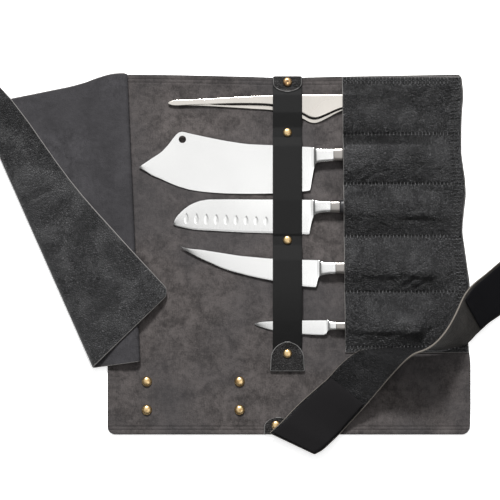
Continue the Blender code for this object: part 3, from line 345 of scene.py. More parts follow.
# Least thickness of a bolster's rim and of a blade's tip, as shares of the full one
RIM_SHARE = 0.28
TIP_SHARE = 0.4
# Power of the wedge between spine and edge, and of the bolster's round section
WEDGE_POWER = 1.3
BOLSTER_POWER = 4.2
# Height of a lying handle's axis as a share of its thickness, and the part of its width that the
# roll adds to it
HANDLE_REST = 0.47
ROLL_REST = 0.18
# Half thickness of a blade where it comes nearest to the panel, as a share of the spine's thickness
REST_SHARE = 0.3


def blade_half(knife, share, swell):
    """Half thickness of blade or bolster at a share of the width from the spine."""
    wedge = mix(BLADE_SPINE, BLADE_EDGE, share ** WEDGE_POWER) / 2
    across = abs(2 * share - 1)
    round_share = (1 - across ** BOLSTER_POWER) ** (1 / BOLSTER_POWER)
    return mix(wedge, max(round_share, RIM_SHARE) * knife["bolster"] / 2, swell)


def oval(x, half_width, half_thick, count=16, power=2.5):
    """Rounded oval section across the X axis."""
    points = []
    for index in range(count):
        angle = 2 * math.pi * index / count
        cosine = math.cos(angle)
        sine = math.sin(angle)
        y = math.copysign(abs(cosine) ** (2 / power), cosine) * half_width
        z = math.copysign(abs(sine) ** (2 / power), sine) * half_thick
        points.append(Vector((x, y, z)))
    return points


def ring_sections(knife):
    """Steel ring between the bolster and the handle."""
    half_width = knife["bolster_width"] / 2
    half_thick = knife["bolster"] / 2
    start = JOINT_GAP
    end = RING_LENGTH
    return [oval(start, half_width, half_thick), oval(end, half_width * 1.03, half_thick * 1.02)]


def handle_sections(knife):
    """Plain handle with a swell and a slightly hooked butt."""
    start = RING_LENGTH + JOINT_GAP
    sections = []
    for share, wide, thick in HANDLE_ROWS:
        x = start + share * knife["handle_length"]
        sections.append(oval(x, wide * knife["handle_width"] / 2, thick * knife["handle_thick"] / 2))
    return sections


@lru_cache(maxsize=None)
def knife_place(name):
    """Placing matrix: handle down in its pocket, blade let down until its tip or edge is near the panel."""
    knife = KNIVES[name]
    index = POCKET_ORDER.index(name)
    y = pocket_lines()[index] - knife["axis_share"] * POCKET_HEIGHTS[index]
    x = mouth_x(y) - knife["from_mouth"]
    roll = math.radians(knife["roll"])
    z = SHEET_BASE + HANDLE_REST * knife["handle_thick"]
    z += ROLL_REST * knife["handle_width"] * math.sin(roll)
    floor = SHEET_BASE + BLADE_FLOOR_GAP
    slope = 1.0
    for share, _, edge, swell in knife["rows"]:
        if swell > 0 or share == 0:
            continue
        low = min(edge, 0.0) * knife["height"] * math.sin(roll)
        room = z + low - BLADE_SPINE * REST_SHARE - floor
        slope = min(slope, room / (share * knife["reach"]))
    pitch = math.asin(max(slope, 0.0))
    turn = Matrix.Rotation(-pitch, 4, "Y") @ Matrix.Rotation(roll, 4, "X")
    return Matrix.Translation((x, y, z)) @ turn


# Tweezers

# Share along the plate from the upper tip to the lower tip, distance from the tips as a share of the
# reach, middle and width as shares of the largest width, and the height as a share of the opening
TWEEZER_ROWS = [
    (0.000, -0.063, 0.143, 0.34),
    (0.040, -0.047, 0.224, 0.40),
    (0.102, -0.019, 0.212, 0.46),
    (0.193, 0.018, 0.224, 0.58),
    (0.294, 0.060, 0.246, 0.71),
    (0.395, 0.087, 0.300, 0.84),
    (0.476, 0.081, 0.376, 0.93),
    (0.545, 0.020, 0.542, 0.98),
    (0.612, -0.087, 0.775, 1.00),
    (0.642, -0.166, 0.932, 1.00),
    (0.669, -0.199, 1.000, 1.00),
    (0.697, -0.172, 0.945, 1.00),
    (0.738, -0.085, 0.771, 0.98),
    (0.798, 0.029, 0.542, 0.95),
    (0.876, 0.036, 0.493, 0.88),
    (0.960, 0.040, 0.448, 0.76),
]
LOWER_SHIFT = 0.27
LOWER_TIP_RISE = 0.075
LOWER_TIP_WIDTH = 0.9
# Middle of the tweezers as a share of the pocket height from its upper seam
TWEEZER_AXIS = 0.43
# Rounds that put more stations between the coarse ones
TWEEZER_ROUNDS = 3


@lru_cache(maxsize=None)
def tweezer_stations():
    """Middle line and half width of the bent plate, tip to tip through the rear bend."""
    lines = pocket_lines()
    index = POCKET_ORDER.index("tweezers")
    axis_y = lines[index] - TWEEZER_AXIS * POCKET_HEIGHTS[index]
    start_x = mouth_x(axis_y) - TWEEZER_TO_MOUTH
    bottom = SHEET_BASE + BLADE_FLOOR_GAP + TWEEZER_PLATE / 2
    upper = []
    lower = []
    for share, middle, width, height in TWEEZER_ROWS:
        x = start_x + share * TWEEZER_REACH
        y = axis_y + middle * TWEEZER_WIDTH
        rise = height * TWEEZER_OPENING
        upper.append((Vector((x, y, bottom + rise)), width * TWEEZER_WIDTH / 2))
        apart = smooth(share / 0.45) * smooth((1.0 - share) / 0.38)
        low_y = y - LOWER_SHIFT * TWEEZER_WIDTH * apart
        tip_rise = LOWER_TIP_RISE * TWEEZER_OPENING * (1 - smooth(share / 0.75))
        low_width = width * mix(LOWER_TIP_WIDTH, 1.0, share)
        lower.append((Vector((x, low_y, bottom + tip_rise)), low_width * TWEEZER_WIDTH / 2))
    bend = []
    last_up, half = upper[-1]
    last_low, _ = lower[-1]
    radius = (last_up.z - last_low.z) / 2
    centre = (last_up + last_low) / 2
    for step in range(1, 6):
        angle = math.pi * step / 6
        offset = Vector((math.sin(angle) * radius, 0, math.cos(angle) * radius))
        bend.append((centre + offset, half))
    return upper + bend + list(reversed(lower))


# Pocket surface

ARCH_POWER = 1.25
ARCH_REACH = 0.97
FALL_START = 0.12


def pocket_contents(index):
    """World points of what lies in a pocket."""
    points = []
    if POCKET_ORDER[index] == "tweezers":
        for point, half in tweezer_stations():
            for side in (-1, 0, 1):
                points.append(point + Vector((0, side * half, TWEEZER_PLATE / 2)))
    else:
        knife = KNIVES[POCKET_ORDER[index]]
        place = knife_place(POCKET_ORDER[index])
        for section in ring_sections(knife) + handle_sections(knife):
            points += [place @ point for point in section]
    return points


@lru_cache(maxsize=None)
def pocket_shape(index):
    """Arch of a pocket: middle line, peak rise and the place where it starts to fall."""
    lines = pocket_lines()
    top = lines[index]
    bottom = lines[index + 1]
    points = pocket_contents(index)
    inside = [point for point in points if point.x > mouth_x(point.y) - RING_LENGTH / 2]
    end = max(point.x for point in inside)
    low = min(point.y for point in inside)
    high = max(point.y for point in inside)
    middle = (low + high) / 2
    rise = 0.0
    for point in inside:
        reach = (top - middle) if point.y > middle else (middle - bottom)
        across = abs(point.y - middle) / reach
        arch = (1 - min(across, ARCH_REACH) ** 2) ** ARCH_POWER
        need = point.z + POCKET_CLEARANCE + POCKET_THICK - SHEET_BASE - POCKET_THICK / 2
        rise = max(rise, need / arch)
    return middle, rise, end


def arch_fall(x, end, seam):
    """Share of the peak rise along a pocket: full to the butt, then down to the edge seam."""
    if x <= end:
        return 1.0
    return 1.0 - smooth((x - end) / (seam - end))


def pocket_rise(index, shape, x, y):
    """Rise of the pocket's middle surface over the panel."""
    middle, rise, end = shape
    lines = pocket_lines()
    reach = (lines[index] - middle) if y > middle else (middle - lines[index + 1])
    across = min(abs(y - middle) / reach, 1.0)
    seam = right_edge_x(y) - EDGE_SEAM
    return rise * (1 - across ** 2) ** ARCH_POWER * arch_fall(x, end - FALL_START * rise, seam)


def pocket_top(x, y):
    """Upper surface of the pocket panel at a plan point, or None beside it."""
    lines = pocket_lines()
    if not lines[-1] < y < lines[0] or not mouth_x(y) < x < right_edge_x(y):
        return None
    for index in range(len(POCKET_HEIGHTS)):
        if lines[index + 1] <= y <= lines[index]:
            rise = pocket_rise(index, pocket_shape(index), x, y)
            return SHEET_BASE + POCKET_THICK + rise
    return None


# Blade band

BAND_MIDDLE = PANEL_LENGTH / 2 - POCKET_DEPTH - BAND_FROM_MOUTH - BAND_WIDTH / 2


def tool_tops(x):
    """Plan height and top of each blade or arm that the band crosses at a place along the panel."""
    places = []
    for name, knife in KNIVES.items():
        place = knife_place(name)
        local = place.inverted() @ Vector((x, place.translation.y, place.translation.z))
        share = min(max(-local.x / knife["reach"], 0.0), 1.0)
        rows = sorted(knife["rows"])
        swell = table_value(rows, share, 3)
        for column, thin in ((1, BLADE_SPINE / 2), (2, BLADE_EDGE)):
            y = table_value(rows, share, column) * knife["height"]
            half = mix(thin, knife["bolster"] / 2, swell)
            point = place @ Vector((-share * knife["reach"], y, half))
            places.append((point.y, point.z))
    stations = tweezer_stations()[:len(TWEEZER_ROWS)]
    for (first, half_one), (second, half_two) in zip(stations, stations[1:]):
        if first.x <= x <= second.x:
            share = (x - first.x) / (second.x - first.x)
            point = first.lerp(second, share)
            half = mix(half_one, half_two, share)
            top = point.z + TWEEZER_PLATE / 2
            places += [(point.y + half, top), (point.y - half, top)]
    return places


# Snaps on the tabs: share of the tab's length from its straight end
TOP_SNAP = 0.373
END_SNAP = 0.599
# Share of the lower tab's width and length where its snap sits
LOWER_SNAP = (0.41, 0.56)
# Studs: shares of the panel's length and width
STUDS = [(0.1075, 0.1465), (0.1075, 0.0675), (0.3635, 0.1465), (0.3635, 0.0675)]


def rivet_heights():
    """Plan heights of the lower and the upper rivet of the band, near two pocket seams."""
    lines = pocket_lines()
    return lines[3] - LOWER_RIVET_DROP, lines[1] + UPPER_RIVET_RISE


def top_tab_start():
    return top_edge_y(BAND_MIDDLE) + TOP_TAB_LIP


def end_tab_start():
    return pocket_lines()[-1] - END_TAB_DROP


def top_snap_y():
    return top_tab_start() - TOP_SNAP * TOP_TAB_LENGTH


def end_snap_y():
    return end_tab_start() + END_SNAP * END_TAB_LENGTH


def lower_snap_place():
    """Plan point of the snap on the lower tab."""
    x = -PANEL_LENGTH / 2 + LOWER_TAB_LEFT + LOWER_SNAP[0] * LOWER_TAB_WIDTH
    return x, -PANEL_WIDTH / 2 + LOWER_SNAP[1] * LOWER_TAB_LENGTH


def band_fixed():
    """Plan heights where the band lies flat on the panel, in pairs from the lower end up."""
    half = CAP_RADIUS + BAND_THICK / 2
    places = [(end_tab_start() + BAND_END_INSET, end_snap_y() + half)]
    for y in rivet_heights():
        places.append((y - half, y + half))
    top_half = half + TAB_THICK
    places.append((top_snap_y() - top_half, PANEL_WIDTH / 2 - BAND_TOP_INSET))
    return places


def band_height(y, fixed, tops):
    """Lowest height of a tight band's underside, between the places that hold it down."""
    base = SHEET_BASE
    points = []
    for low, high in fixed:
        points += [(low, base), (high, base)]
    for place, top in tops:
        if not any(low <= place <= high for low, high in fixed):
            points.append((place, top + LAYER_GAP))
    best = base
    for left in points:
        for right in points:
            held = any(left[0] < (low + high) / 2 < right[0] for low, high in fixed)
            if left[0] < y < right[0] and not held:
                share = (y - left[0]) / (right[0] - left[0])
                best = max(best, mix(left[1], right[1], share))
        if abs(left[0] - y) < 1e-6:
            best = max(best, left[1])
    return best


PROFILE_STEP = 0.0001


@lru_cache(maxsize=None)
def band_profile():
    """Closely spaced places along the band, and the height of its underside there."""
    fixed = band_fixed()
    tops = []
    for side in (-1, -0.5, 0, 0.5, 1):
        tops += tool_tops(BAND_MIDDLE + side * BAND_WIDTH / 2)
    places = np.arange(fixed[0][0] - 0.01, fixed[-1][1] + 0.01, PROFILE_STEP)
    return places, np.array([band_height(y, fixed, tops) for y in places])


def band_surface(distance):
    """Function of the height along the band at a distance over its underside, the same all across it."""
    places, under = band_profile()
    reach = int(distance / PROFILE_STEP)
    best = under + distance
    for step in range(-reach, reach + 1):
        lift = math.sqrt(max(distance ** 2 - (step * PROFILE_STEP) ** 2, 0.0))
        best = np.maximum(best, np.roll(under, step) + lift)
    return lambda y: float(np.interp(y, places, best))


# Blade flap

# Corners of the folds in the lying flap: at the lower and the upper end, distance right of the sewn
# edge as a share of the sheet's width, and distance above that end as a share of its height
FLAP_LINES = {
    "hinge": (0.1775, -0.011, 0.111, 0.007),
    "fold": (-0.085, -0.036, -0.699, -0.1035),
    "edge": (0.327, 0.2326, -0.614, -0.011),
}
# Share along the free edge, and how far it bows in, as a share of the sheet's height
EDGE_BOW = [(0.0, 0.0), (0.1, 0.0043), (0.2, 0.0093), (0.31, 0.0135), (0.40, 0.0172), (0.47, 0.0187),
            (0.54, 0.0174), (0.62, 0.013), (0.70, 0.0064), (0.80, -0.0024), (0.90, -0.0072), (1.0, -0.003)]
# Height of the turned-over layer over the one below it, as a share of the sheet's thickness
FOLD_CLOSE = 1.45


def flap_line(name, share):
    """Plan point of a fold line or of the free edge, from the lower end up."""
    low_x, low_y, high_x, high_y = FLAP_LINES[name]
    left = -PANEL_LENGTH / 2
    top = PANEL_WIDTH / 2 - FLAP_TOP_INSET
    low = Vector((left + low_x * FLAP_WIDTH, top - FLAP_HEIGHT + low_y * FLAP_HEIGHT))
    high = Vector((left + high_x * FLAP_WIDTH, top + high_y * FLAP_HEIGHT))
    point = low.lerp(high, share)
    if name == "edge":
        along = (high - low).normalized()
        inward = Vector((-along.y, along.x))
        point += inward * table_value(EDGE_BOW, share, 1) * FLAP_HEIGHT
    return point


def flap_fold(name):
    """Origin, direction and outward normal of a fold line on the plan."""
    low = flap_line(name, 0.0)
    along = (flap_line(name, 1.0) - low).normalized()
    right = Vector((along.y, -along.x))
    return low, along, right


def flap_ground(point):
    """Middle height of the layer that leaves the hinge and comes down to the floor."""
    origin, along, right = flap_fold("hinge")
    top = SHEET_BASE + FLAP_THICK / 2 + 2 * HINGE_RADIUS
    floor = LAYER_GAP + FLAP_THICK / 2
    away = -(point - origin).dot(right)
    edge = origin.x + along.x / along.y * (point.y - origin.y)
    run = edge - (-PANEL_LENGTH / 2 - FLAP_DROP_RUN)
    if away <= 0:
        return top
    return mix(top, floor, smooth(away / run))


def flap_point(flat):
    """Place of a point of the flat sheet, laid out as the layer left of the hinge."""
    hinge_origin, _, hinge_right = flap_fold("hinge")
    fold_origin, _, fold_right = flap_fold("fold")
    past_hinge = (flat - hinge_origin).dot(hinge_right)
    past_fold = -(flat - fold_origin).dot(fold_right)
    quarter = math.pi / 2 * HINGE_RADIUS
    if past_hinge > -quarter:
        low = SHEET_BASE + FLAP_THICK / 2
        top = low + 2 * HINGE_RADIUS
        if past_hinge >= quarter:
            plan = flat - hinge_right * 2 * past_hinge
            return Vector((plan.x, plan.y, low))
        angle = (past_hinge + quarter) / HINGE_RADIUS
        shift = -quarter + HINGE_RADIUS * math.sin(angle) - past_hinge
        plan = flat + hinge_right * shift
        return Vector((plan.x, plan.y, top - HINGE_RADIUS * (1 - math.cos(angle))))
    quarter = math.pi / 2 * FOLD_RADIUS
    if past_fold < -quarter:
        return Vector((flat.x, flat.y, flap_ground(flat)))
    if past_fold < quarter:
        angle = (past_fold + quarter) / FOLD_RADIUS
        shift = -quarter + FOLD_RADIUS * math.sin(angle) - past_fold
        plan = flat - fold_right * shift
        height = flap_ground(plan) + FOLD_RADIUS * (1 - math.cos(angle))
        return Vector((plan.x, plan.y, height))
    plan = flat + fold_right * 2 * past_fold
    over = past_fold - quarter
    rise = mix(2 * FOLD_RADIUS, FOLD_CLOSE * FLAP_THICK, smooth(over / FOLD_CLOSE_RUN))
    past = (plan - hinge_origin).dot(hinge_right)
    droop = FLAP_TIP_DROOP * smooth((past - FLAP_DROOP_START) / FLAP_DROOP_RUN)
    return Vector((plan.x, plan.y, flap_ground(plan) + rise - droop))


# Closure strap

# Plan of its two long edges as shares of the panel's length and width, from the lower left end on:
# the edge that lies to the right and comes over to the left, then the other, and the width share.
# Where the edges are closer on the plan than the width, the strap stands on its second edge
STRAP_ROWS = [
    (0.5700, -0.0545, 0.4475, 0.0040, 1.00),
    (0.5900, -0.0435, 0.4670, 0.0210, 1.00),
    (0.6120, -0.0240, 0.4860, 0.0400, 1.00),
    (0.6380, 0.0010, 0.5220, 0.0780, 1.00),
    (0.6685, 0.0350, 0.5663, 0.1184, 1.00),
    (0.7044, 0.0752, 0.6077, 0.1546, 1.00),
    (0.7403, 0.1184, 0.6436, 0.1936, 1.00),
    (0.7735, 0.1602, 0.6906, 0.2298, 1.00),
    (0.7983, 0.1894, 0.7293, 0.2350, 1.00),
    (0.8204, 0.2123, 0.7735, 0.2373, 1.00),
    (0.8425, 0.2284, 0.8177, 0.2393, 1.00),
    (0.8725, 0.2400, 0.8730, 0.2395, 1.00),
    (0.9006, 0.2591, 0.9199, 0.2368, 1.00),
    (0.9254, 0.2869, 0.9613, 0.2451, 1.00),
    (0.9461, 0.3189, 0.9917, 0.2549, 0.99),
    (0.9641, 0.3538, 1.0138, 0.2772, 0.97),
    (0.9820, 0.3886, 1.0331, 0.2953, 0.95),
    (1.0055, 0.4164, 1.0525, 0.3120, 0.93),
    (1.0387, 0.4429, 1.0884, 0.3370, 0.92),
    (1.0815, 0.4791, 1.1354, 0.3774, 0.91),
    (1.1246, 0.5153, 1.1790, 0.4136, 0.90),
    (1.1630, 0.5487, 1.2170, 0.4470, 0.90),
]
STRAP_COLUMNS = (0.0, 0.25, 0.5, 0.75, 1.0)
# Lift that keeps a patch clear of the strap's flat faces where it twists, as a share of the turn
TWIST_SHARE = 0.18
# Width on the plan from which the strap counts as lying, as a share of its width
LYING_SHARE = 0.75
# Reach of a snap's cap under the strap, as a share of its radius
SNAP_REACH = 1.6


def resting_height(x, y):
    """Highest surface within a short reach of a plan point."""
    best = 0.0
    snap_x, snap_y = lower_snap_place()
    tab_top = SHEET_BASE + TAB_THICK
    for step in range(9):
        angle = math.pi * step / 4
        reach = REST_REACH if step < 8 else 0.0
        place_x = x + reach * math.cos(angle)
        place_y = y + reach * math.sin(angle)
        inside = abs(place_y) < PANEL_WIDTH / 2
        if inside and -PANEL_LENGTH / 2 < place_x < right_edge_x(place_y):
            best = max(best, PANEL_THICK)
        covered = pocket_top(place_x, place_y)
        if covered is not None:
            best = max(best, covered)
        if math.hypot(place_x - snap_x, place_y - snap_y) < CAP_RADIUS * SNAP_REACH:
            best = max(best, tab_top + LAYER_GAP + CAP_HEIGHT)
        tab_left = -PANEL_LENGTH / 2 + LOWER_TAB_LEFT
        beside_tab = tab_left < place_x < tab_left + LOWER_TAB_WIDTH
        if beside_tab and 0 < place_y + PANEL_WIDTH / 2 < LOWER_TAB_LENGTH:
            best = max(best, tab_top)
    return best


def refined(pairs, rounds=1):
    """Pairs with one more, on a smooth curve, between each two, in each round."""
    for _ in range(rounds):
        closer = [pairs[0]]
        for index in range(len(pairs) - 1):
            before = pairs[max(index - 1, 0)]
            start, end = pairs[index], pairs[index + 1]
            after = pairs[min(index + 2, len(pairs) - 1)]
            between = []
            for side in (0, 1):
                outer = before[side] + after[side]
                inner = start[side] + end[side]
                between.append((inner * 9 - outer) / 16)
            closer += [tuple(between), end]
        pairs = closer
    return pairs


def strap_edges():
    """Both long edges of the strap's middle surface."""
    edges = []
    for right_u, right_v, left_u, left_v, share in STRAP_ROWS:
        right = Vector((panel_x(right_u), panel_y(right_v)))
        left = Vector((panel_x(left_u), panel_y(left_v)))
        low = resting_height(left.x, left.y)
        high = resting_height(right.x, right.y)
        centre = right.lerp(left, 0.5)
        if (right - left).length > STRAP_WIDTH * LYING_SHARE:
            middle = resting_height(centre.x, centre.y)
            low = max(low, 2 * middle - high)
        width = STRAP_WIDTH * share
        rise = math.sqrt(max(width ** 2 - (right - left).length_squared, 0.0))
        edges.append([right, max(high, low + rise), left, low])
    for _ in range(2):
        heights = [(edge[1], edge[3]) for edge in edges]
        for index in range(1, len(edges) - 1):
            for slot, column in ((1, 0), (3, 1)):
                around = (heights[index - 1][column] + heights[index + 1][column]) / 2
                edges[index][slot] = max(heights[index][column], mix(heights[index][column], around, 0.5))
    lift = LAYER_GAP + STRAP_THICK / 2
    points = []
    for right, high, left, low in edges:
        first = Vector((right.x, right.y, high + lift))
        second = Vector((left.x, left.y, low + lift))
        points.append((first, second))
    return refined(points)


def patch_rows(from_start, reach):
    """Grid of a patch that lies on the strap's upper side, over a length from one of its ends."""
    edges = strap_edges()
    if not from_start:
        edges = list(reversed(edges))
    kept = []
    length = 0.0
    for index, (right, left) in enumerate(edges):
        middle = right.lerp(left, 0.5)
        if index:
            before = edges[index - 1][0].lerp(edges[index - 1][1], 0.5)
            step = (middle - before).length
            if length + step > reach:
                share = (reach - length) / step
                last = edges[index - 1]
                kept.append((last[0].lerp(right, share), last[1].lerp(left, share)))
                break
            length += step
        kept.append((right, left))
    first, second = kept[0], kept[1]
    step = ((first[0] - second[0]).length + (first[1] - second[1]).length) / 2
    share = PATCH_MARGIN / step
    kept[0] = (first[0].lerp(second[0], share), first[1].lerp(second[1], share))
    lift = STRAP_THICK / 2 + PATCH_THICK / 2 + LAYER_GAP
    rows = []
    for index, (right, left) in enumerate(kept):
        before = kept[max(index - 1, 0)]
        after = kept[min(index + 1, len(kept) - 1)]
        along = after[0] + after[1] - before[0] - before[1]
        across = left - right
        normal = along.cross(across).normalized()
        if normal.z < 0:
            normal = -normal
        turn = after[1] - after[0] - before[1] + before[0]
        clear = lift + abs(turn.dot(normal)) * TWIST_SHARE
        inset = PATCH_MARGIN / across.length
        row = []
        for column in STRAP_COLUMNS:
            place = right.lerp(left, inset + (1 - 2 * inset) * column)
            row.append(place + normal * clear)
        rows.append(row)
    return rows


# Fine meshes

def grid_normals(grid):
    """Unit normals of a grid of points."""
    across = np.gradient(grid, axis=0)
    along = np.gradient(grid, axis=1)
    normal = np.cross(along, across)
    length = np.linalg.norm(normal, axis=2, keepdims=True)
    return normal / np.maximum(length, 1e-12)


def border(rows, columns):
    """Grid places around the border, once round."""
    places = [(0, column) for column in range(columns)]
    places += [(row, columns - 1) for row in range(1, rows)]
    places += [(rows - 1, column) for column in range(columns - 2, -1, -1)]
    places += [(row, 0) for row in range(rows - 2, 0, -1)]
    return places


def make_mesh(name, vertices, faces, uv, indices, materials, maps=None):
    """Object from arrays, with a flat map in metres and closed faces that look outward."""
    mesh = bpy.data.meshes.new(name)
    mesh.from_pydata([tuple(vertex) for vertex in vertices], [], faces)
    mesh.polygons.foreach_set("material_index", indices)
    layer = mesh.uv_layers.new(name="flat")
    corners = np.empty(len(mesh.loops), dtype=np.int32)
    mesh.loops.foreach_get("vertex_index", corners)
    layer.data.foreach_set("uv", np.asarray(uv, dtype=np.float32)[corners].ravel())
    for title, values in (maps or {}).items():
        layer = mesh.uv_layers.new(name=title)
        layer.data.foreach_set("uv", np.asarray(values, dtype=np.float32)[corners].ravel())
    mesh.uv_layers["flat"].active = True
    mesh.uv_layers["flat"].active_render = True
    for material in materials:
        mesh.materials.append(material)
    shape = bmesh.new()
    shape.from_mesh(mesh)
    bmesh.ops.recalc_face_normals(shape, faces=shape.faces)
    shape.to_mesh(mesh)
    shape.free()
    mesh.shade_smooth()
    thing = bpy.data.objects.new(name, mesh)
    bpy.context.scene.collection.objects.link(thing)
    return thing


EDGE_RINGS = 4


def skin(name, rows, flat, thick, materials, upper=None, bulge=0.35, maps=None):
    """Sheet with a rounded cut edge around a grid of middle points, upper side, under side and edge."""
    grid = np.array([[tuple(point) for point in row] for row in rows], dtype=float)
    flat = np.array([[tuple(point)[:2] for point in row] for row in flat], dtype=float)
    count, width = grid.shape[:2]
    normal = grid_normals(grid)
    half = thick / 2
    top = grid + normal * half
    if upper is not None:
        top = top + normal * np.asarray(upper)[:, :, None]
    low = grid - normal * half
    vertices = [top.reshape(-1, 3), low.reshape(-1, 3)]
    uv = [flat.reshape(-1, 2), flat.reshape(-1, 2)]
    total = count * width
    faces = []
    indices = []
    for row in range(count - 1):
        for column in range(width - 1):
            first = row * width + column
            quad = (first, first + 1, first + width + 1, first + width)
            faces.append(quad)
            indices.append(0)
            faces.append(tuple(total + corner for corner in reversed(quad)))
            indices.append(1)
    loop = border(count, width)
    outward = []
    for row, column in loop:
        inner = grid[min(max(row, 1), count - 2), min(max(column, 1), width - 2)]
        away = grid[row, column] - inner
        away = away - normal[row, column] * away.dot(normal[row, column])
        outward.append(away / max(np.linalg.norm(away), 1e-9))
    rings = [[row * width + column for row, column in loop]]
    start = 2 * total
    for step in range(1, EDGE_RINGS):
        angle = math.pi * step / EDGE_RINGS
        ring = []
        for (row, column), away in zip(loop, outward):
            shift = away * bulge * thick * math.sin(angle)
            ring.append(grid[row, column] + shift + normal[row, column] * half * math.cos(angle))
        vertices.append(np.array(ring))
        uv.append(np.array([flat[row, column] + (0.0007 * step, 0) for row, column in loop]))
        rings.append(list(range(start, start + len(loop))))
        start += len(loop)
    rings.append([total + row * width + column for row, column in loop])
    for upper_ring, lower_ring in zip(rings, rings[1:]):
        for index in range(len(loop)):
            after = (index + 1) % len(loop)
            faces.append((upper_ring[index], lower_ring[index], lower_ring[after], upper_ring[after]))
            indices.append(2)
    every = {}
    for title, values in (maps or {}).items():
        values = np.array(values, dtype=float)
        ring = np.array([values[row, column] for row, column in loop])
        every[title] = np.vstack([values.reshape(-1, 2)] * 2 + [ring] * (EDGE_RINGS - 1))
    thing = make_mesh(name, np.vstack(vertices), faces, np.vstack(uv), indices, materials, every)
    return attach(thing, "root")


def tube_faces(start, rings, count):
    """Faces of a tube through rings of points that are numbered from a start, with closed ends."""
    faces = []
    for row in range(rings - 1):
        low = start + row * count
        for step in range(count):
            after = (step + 1) % count
            faces.append((low + step, low + after, low + count + after, low + count + step))
    last = start + (rings - 1) * count
    return faces + [tuple(reversed(range(start, start + count))), tuple(range(last, last + count))]


def solid_loft(name, sections, material):
    """Closed body through fine sections, with its plan as its map."""
    vertices = [tuple(point) for section in sections for point in section]
    faces = tube_faces(0, len(sections), len(sections[0]))
    uv = [(point[0], point[1]) for point in vertices]
    thing = make_mesh(name, vertices, faces, uv, [0] * len(faces), [material])
    thing.data.set_sharp_from_angle(angle=math.radians(35))
    return thing


def spread(start, end, count):
    """Evenly spread values, both ends included."""
    return [mix(start, end, step / (count - 1)) for step in range(count)]


def curve_value(table, key, column):
    """Value of a column at a key on a smooth curve that keeps the table's rises and falls."""
    keys = [row[0] for row in table]
    values = [row[column] for row in table]
    if key <= keys[0]:
        return values[0]
    if key >= keys[-1]:
        return values[-1]
    index = 0
    while keys[index + 1] < key:
        index += 1

    def slope(place):
        if place in (0, len(keys) - 1):
            other = 1 if place == 0 else place - 1
            return (values[other] - values[place]) / (keys[other] - keys[place])
        before = (values[place] - values[place - 1]) / (keys[place] - keys[place - 1])
        after = (values[place + 1] - values[place]) / (keys[place + 1] - keys[place])
        if before * after <= 0:
            return 0.0
        return 2 * before * after / (before + after)

    gap = keys[index + 1] - keys[index]
    share = (key - keys[index]) / gap
    square, cube = share ** 2, share ** 3
    value = (2 * cube - 3 * square + 1) * values[index] + (3 * square - 2 * cube) * values[index + 1]
    value += (cube - 2 * square + share) * gap * slope(index)
    value += (cube - square) * gap * slope(index + 1)
    return value


def ripple(x, y, size, seed):
    """Smooth noise between about -1 and 1 over lumps of a size."""
    return noise.noise(Vector((x / size, y / size, seed)))


# Shader nodes

def add(tree, kind, inputs=None, **settings):
    """Node with its settings, and its inputs as values or links."""
    made = tree.nodes.new("ShaderNode" + kind)
    for name, value in settings.items():
        setattr(made, name, value)
    for name, value in (inputs or {}).items():
        socket = made.inputs[name]
        if isinstance(value, bpy.types.NodeSocket):
            tree.links.new(value, socket)
        else:
            socket.default_value = value
    return made


def calculate(tree, operation, first, second=0.5):
    return add(tree, "Math", {0: first, 1: second}, operation=operation).outputs[0]


def plus(tree, first, second):
    return calculate(tree, "ADD", first, second)


def times(tree, first, second):
    return calculate(tree, "MULTIPLY", first, second)


def ranged(tree, value, low, high, to_low=0.0, to_high=1.0):
    """Value moved from one range to another, eased and kept inside it."""
    inputs = {"Value": value, "From Min": low, "From Max": high, "To Min": to_low, "To Max": to_high}
    return add(tree, "MapRange", inputs, interpolation_type="SMOOTHSTEP").outputs["Result"]


def blended(tree, factor, first, second):
    """Colour between two others."""
    return add(tree, "Mix", {0: factor, 6: first, 7: second}, data_type="RGBA").outputs[2]


def cloud(tree, vector, scale, detail=2.0, roughness=0.5, distortion=0.0):
    """Noise between 0 and 1, with lumps of about one over the scale."""
    inputs = {"Vector": vector, "Scale": scale, "Detail": detail, "Roughness": roughness,
              "Distortion": distortion}
    return add(tree, "TexNoise", inputs).outputs["Fac"]


def colour(red, green, blue, factor=1.0):
    """Linear colour from sRGB values in 0 to 255."""
    return tuple(linear(channel / 255) * factor for channel in (red, green, blue)) + (1.0,)


def new_material(name):
    """Material with its node tree, its Principled shader and the flat map."""
    material = bpy.data.materials.new(name)
    material.use_nodes = True
    tree = material.node_tree
    shader = tree.nodes["Principled BSDF"]
    flat = add(tree, "UVMap", uv_map="flat").outputs["UV"]
    return material, tree, shader, flat


def bump(tree, height, distance, strength=1.0, normal=None):
    inputs = {"Height": height, "Distance": distance, "Strength": strength}
    if normal is not None:
        inputs["Normal"] = normal
    return add(tree, "Bump", inputs).outputs["Normal"]


def stretched(tree, vector, across, along):
    """Map drawn out by its own scale in each direction."""
    return add(tree, "Mapping", {"Vector": vector, "Scale": (across, along, 1.0)}).outputs["Vector"]


# Materials

# Distance from one stitch to the next
STITCH_PITCH = 0.0045
# Maps of the distances from and along the level and the upright rows of stitches
SEAM_MAPS = ("level_seams", "upright_seams")


def shaded_along(tree, shade, rules):
    """Colour made darker over parts of a piece, by rules of axis, start and end, and the share kept; on the
    pockets and on the flap these rules are painted shade.
    """
    parts = add(tree, "SeparateXYZ", {"Vector": add(tree, "TexCoord").outputs["Object"]}).outputs
    for *steps, kept in rules:
        amount = 1.0 - kept
        for axis, start, end in steps:
            amount = times(tree, ranged(tree, parts[axis], start, end), amount)
        shade = blended(tree, amount, shade, (0.0, 0.0, 0.0, 1.0))
    return shade


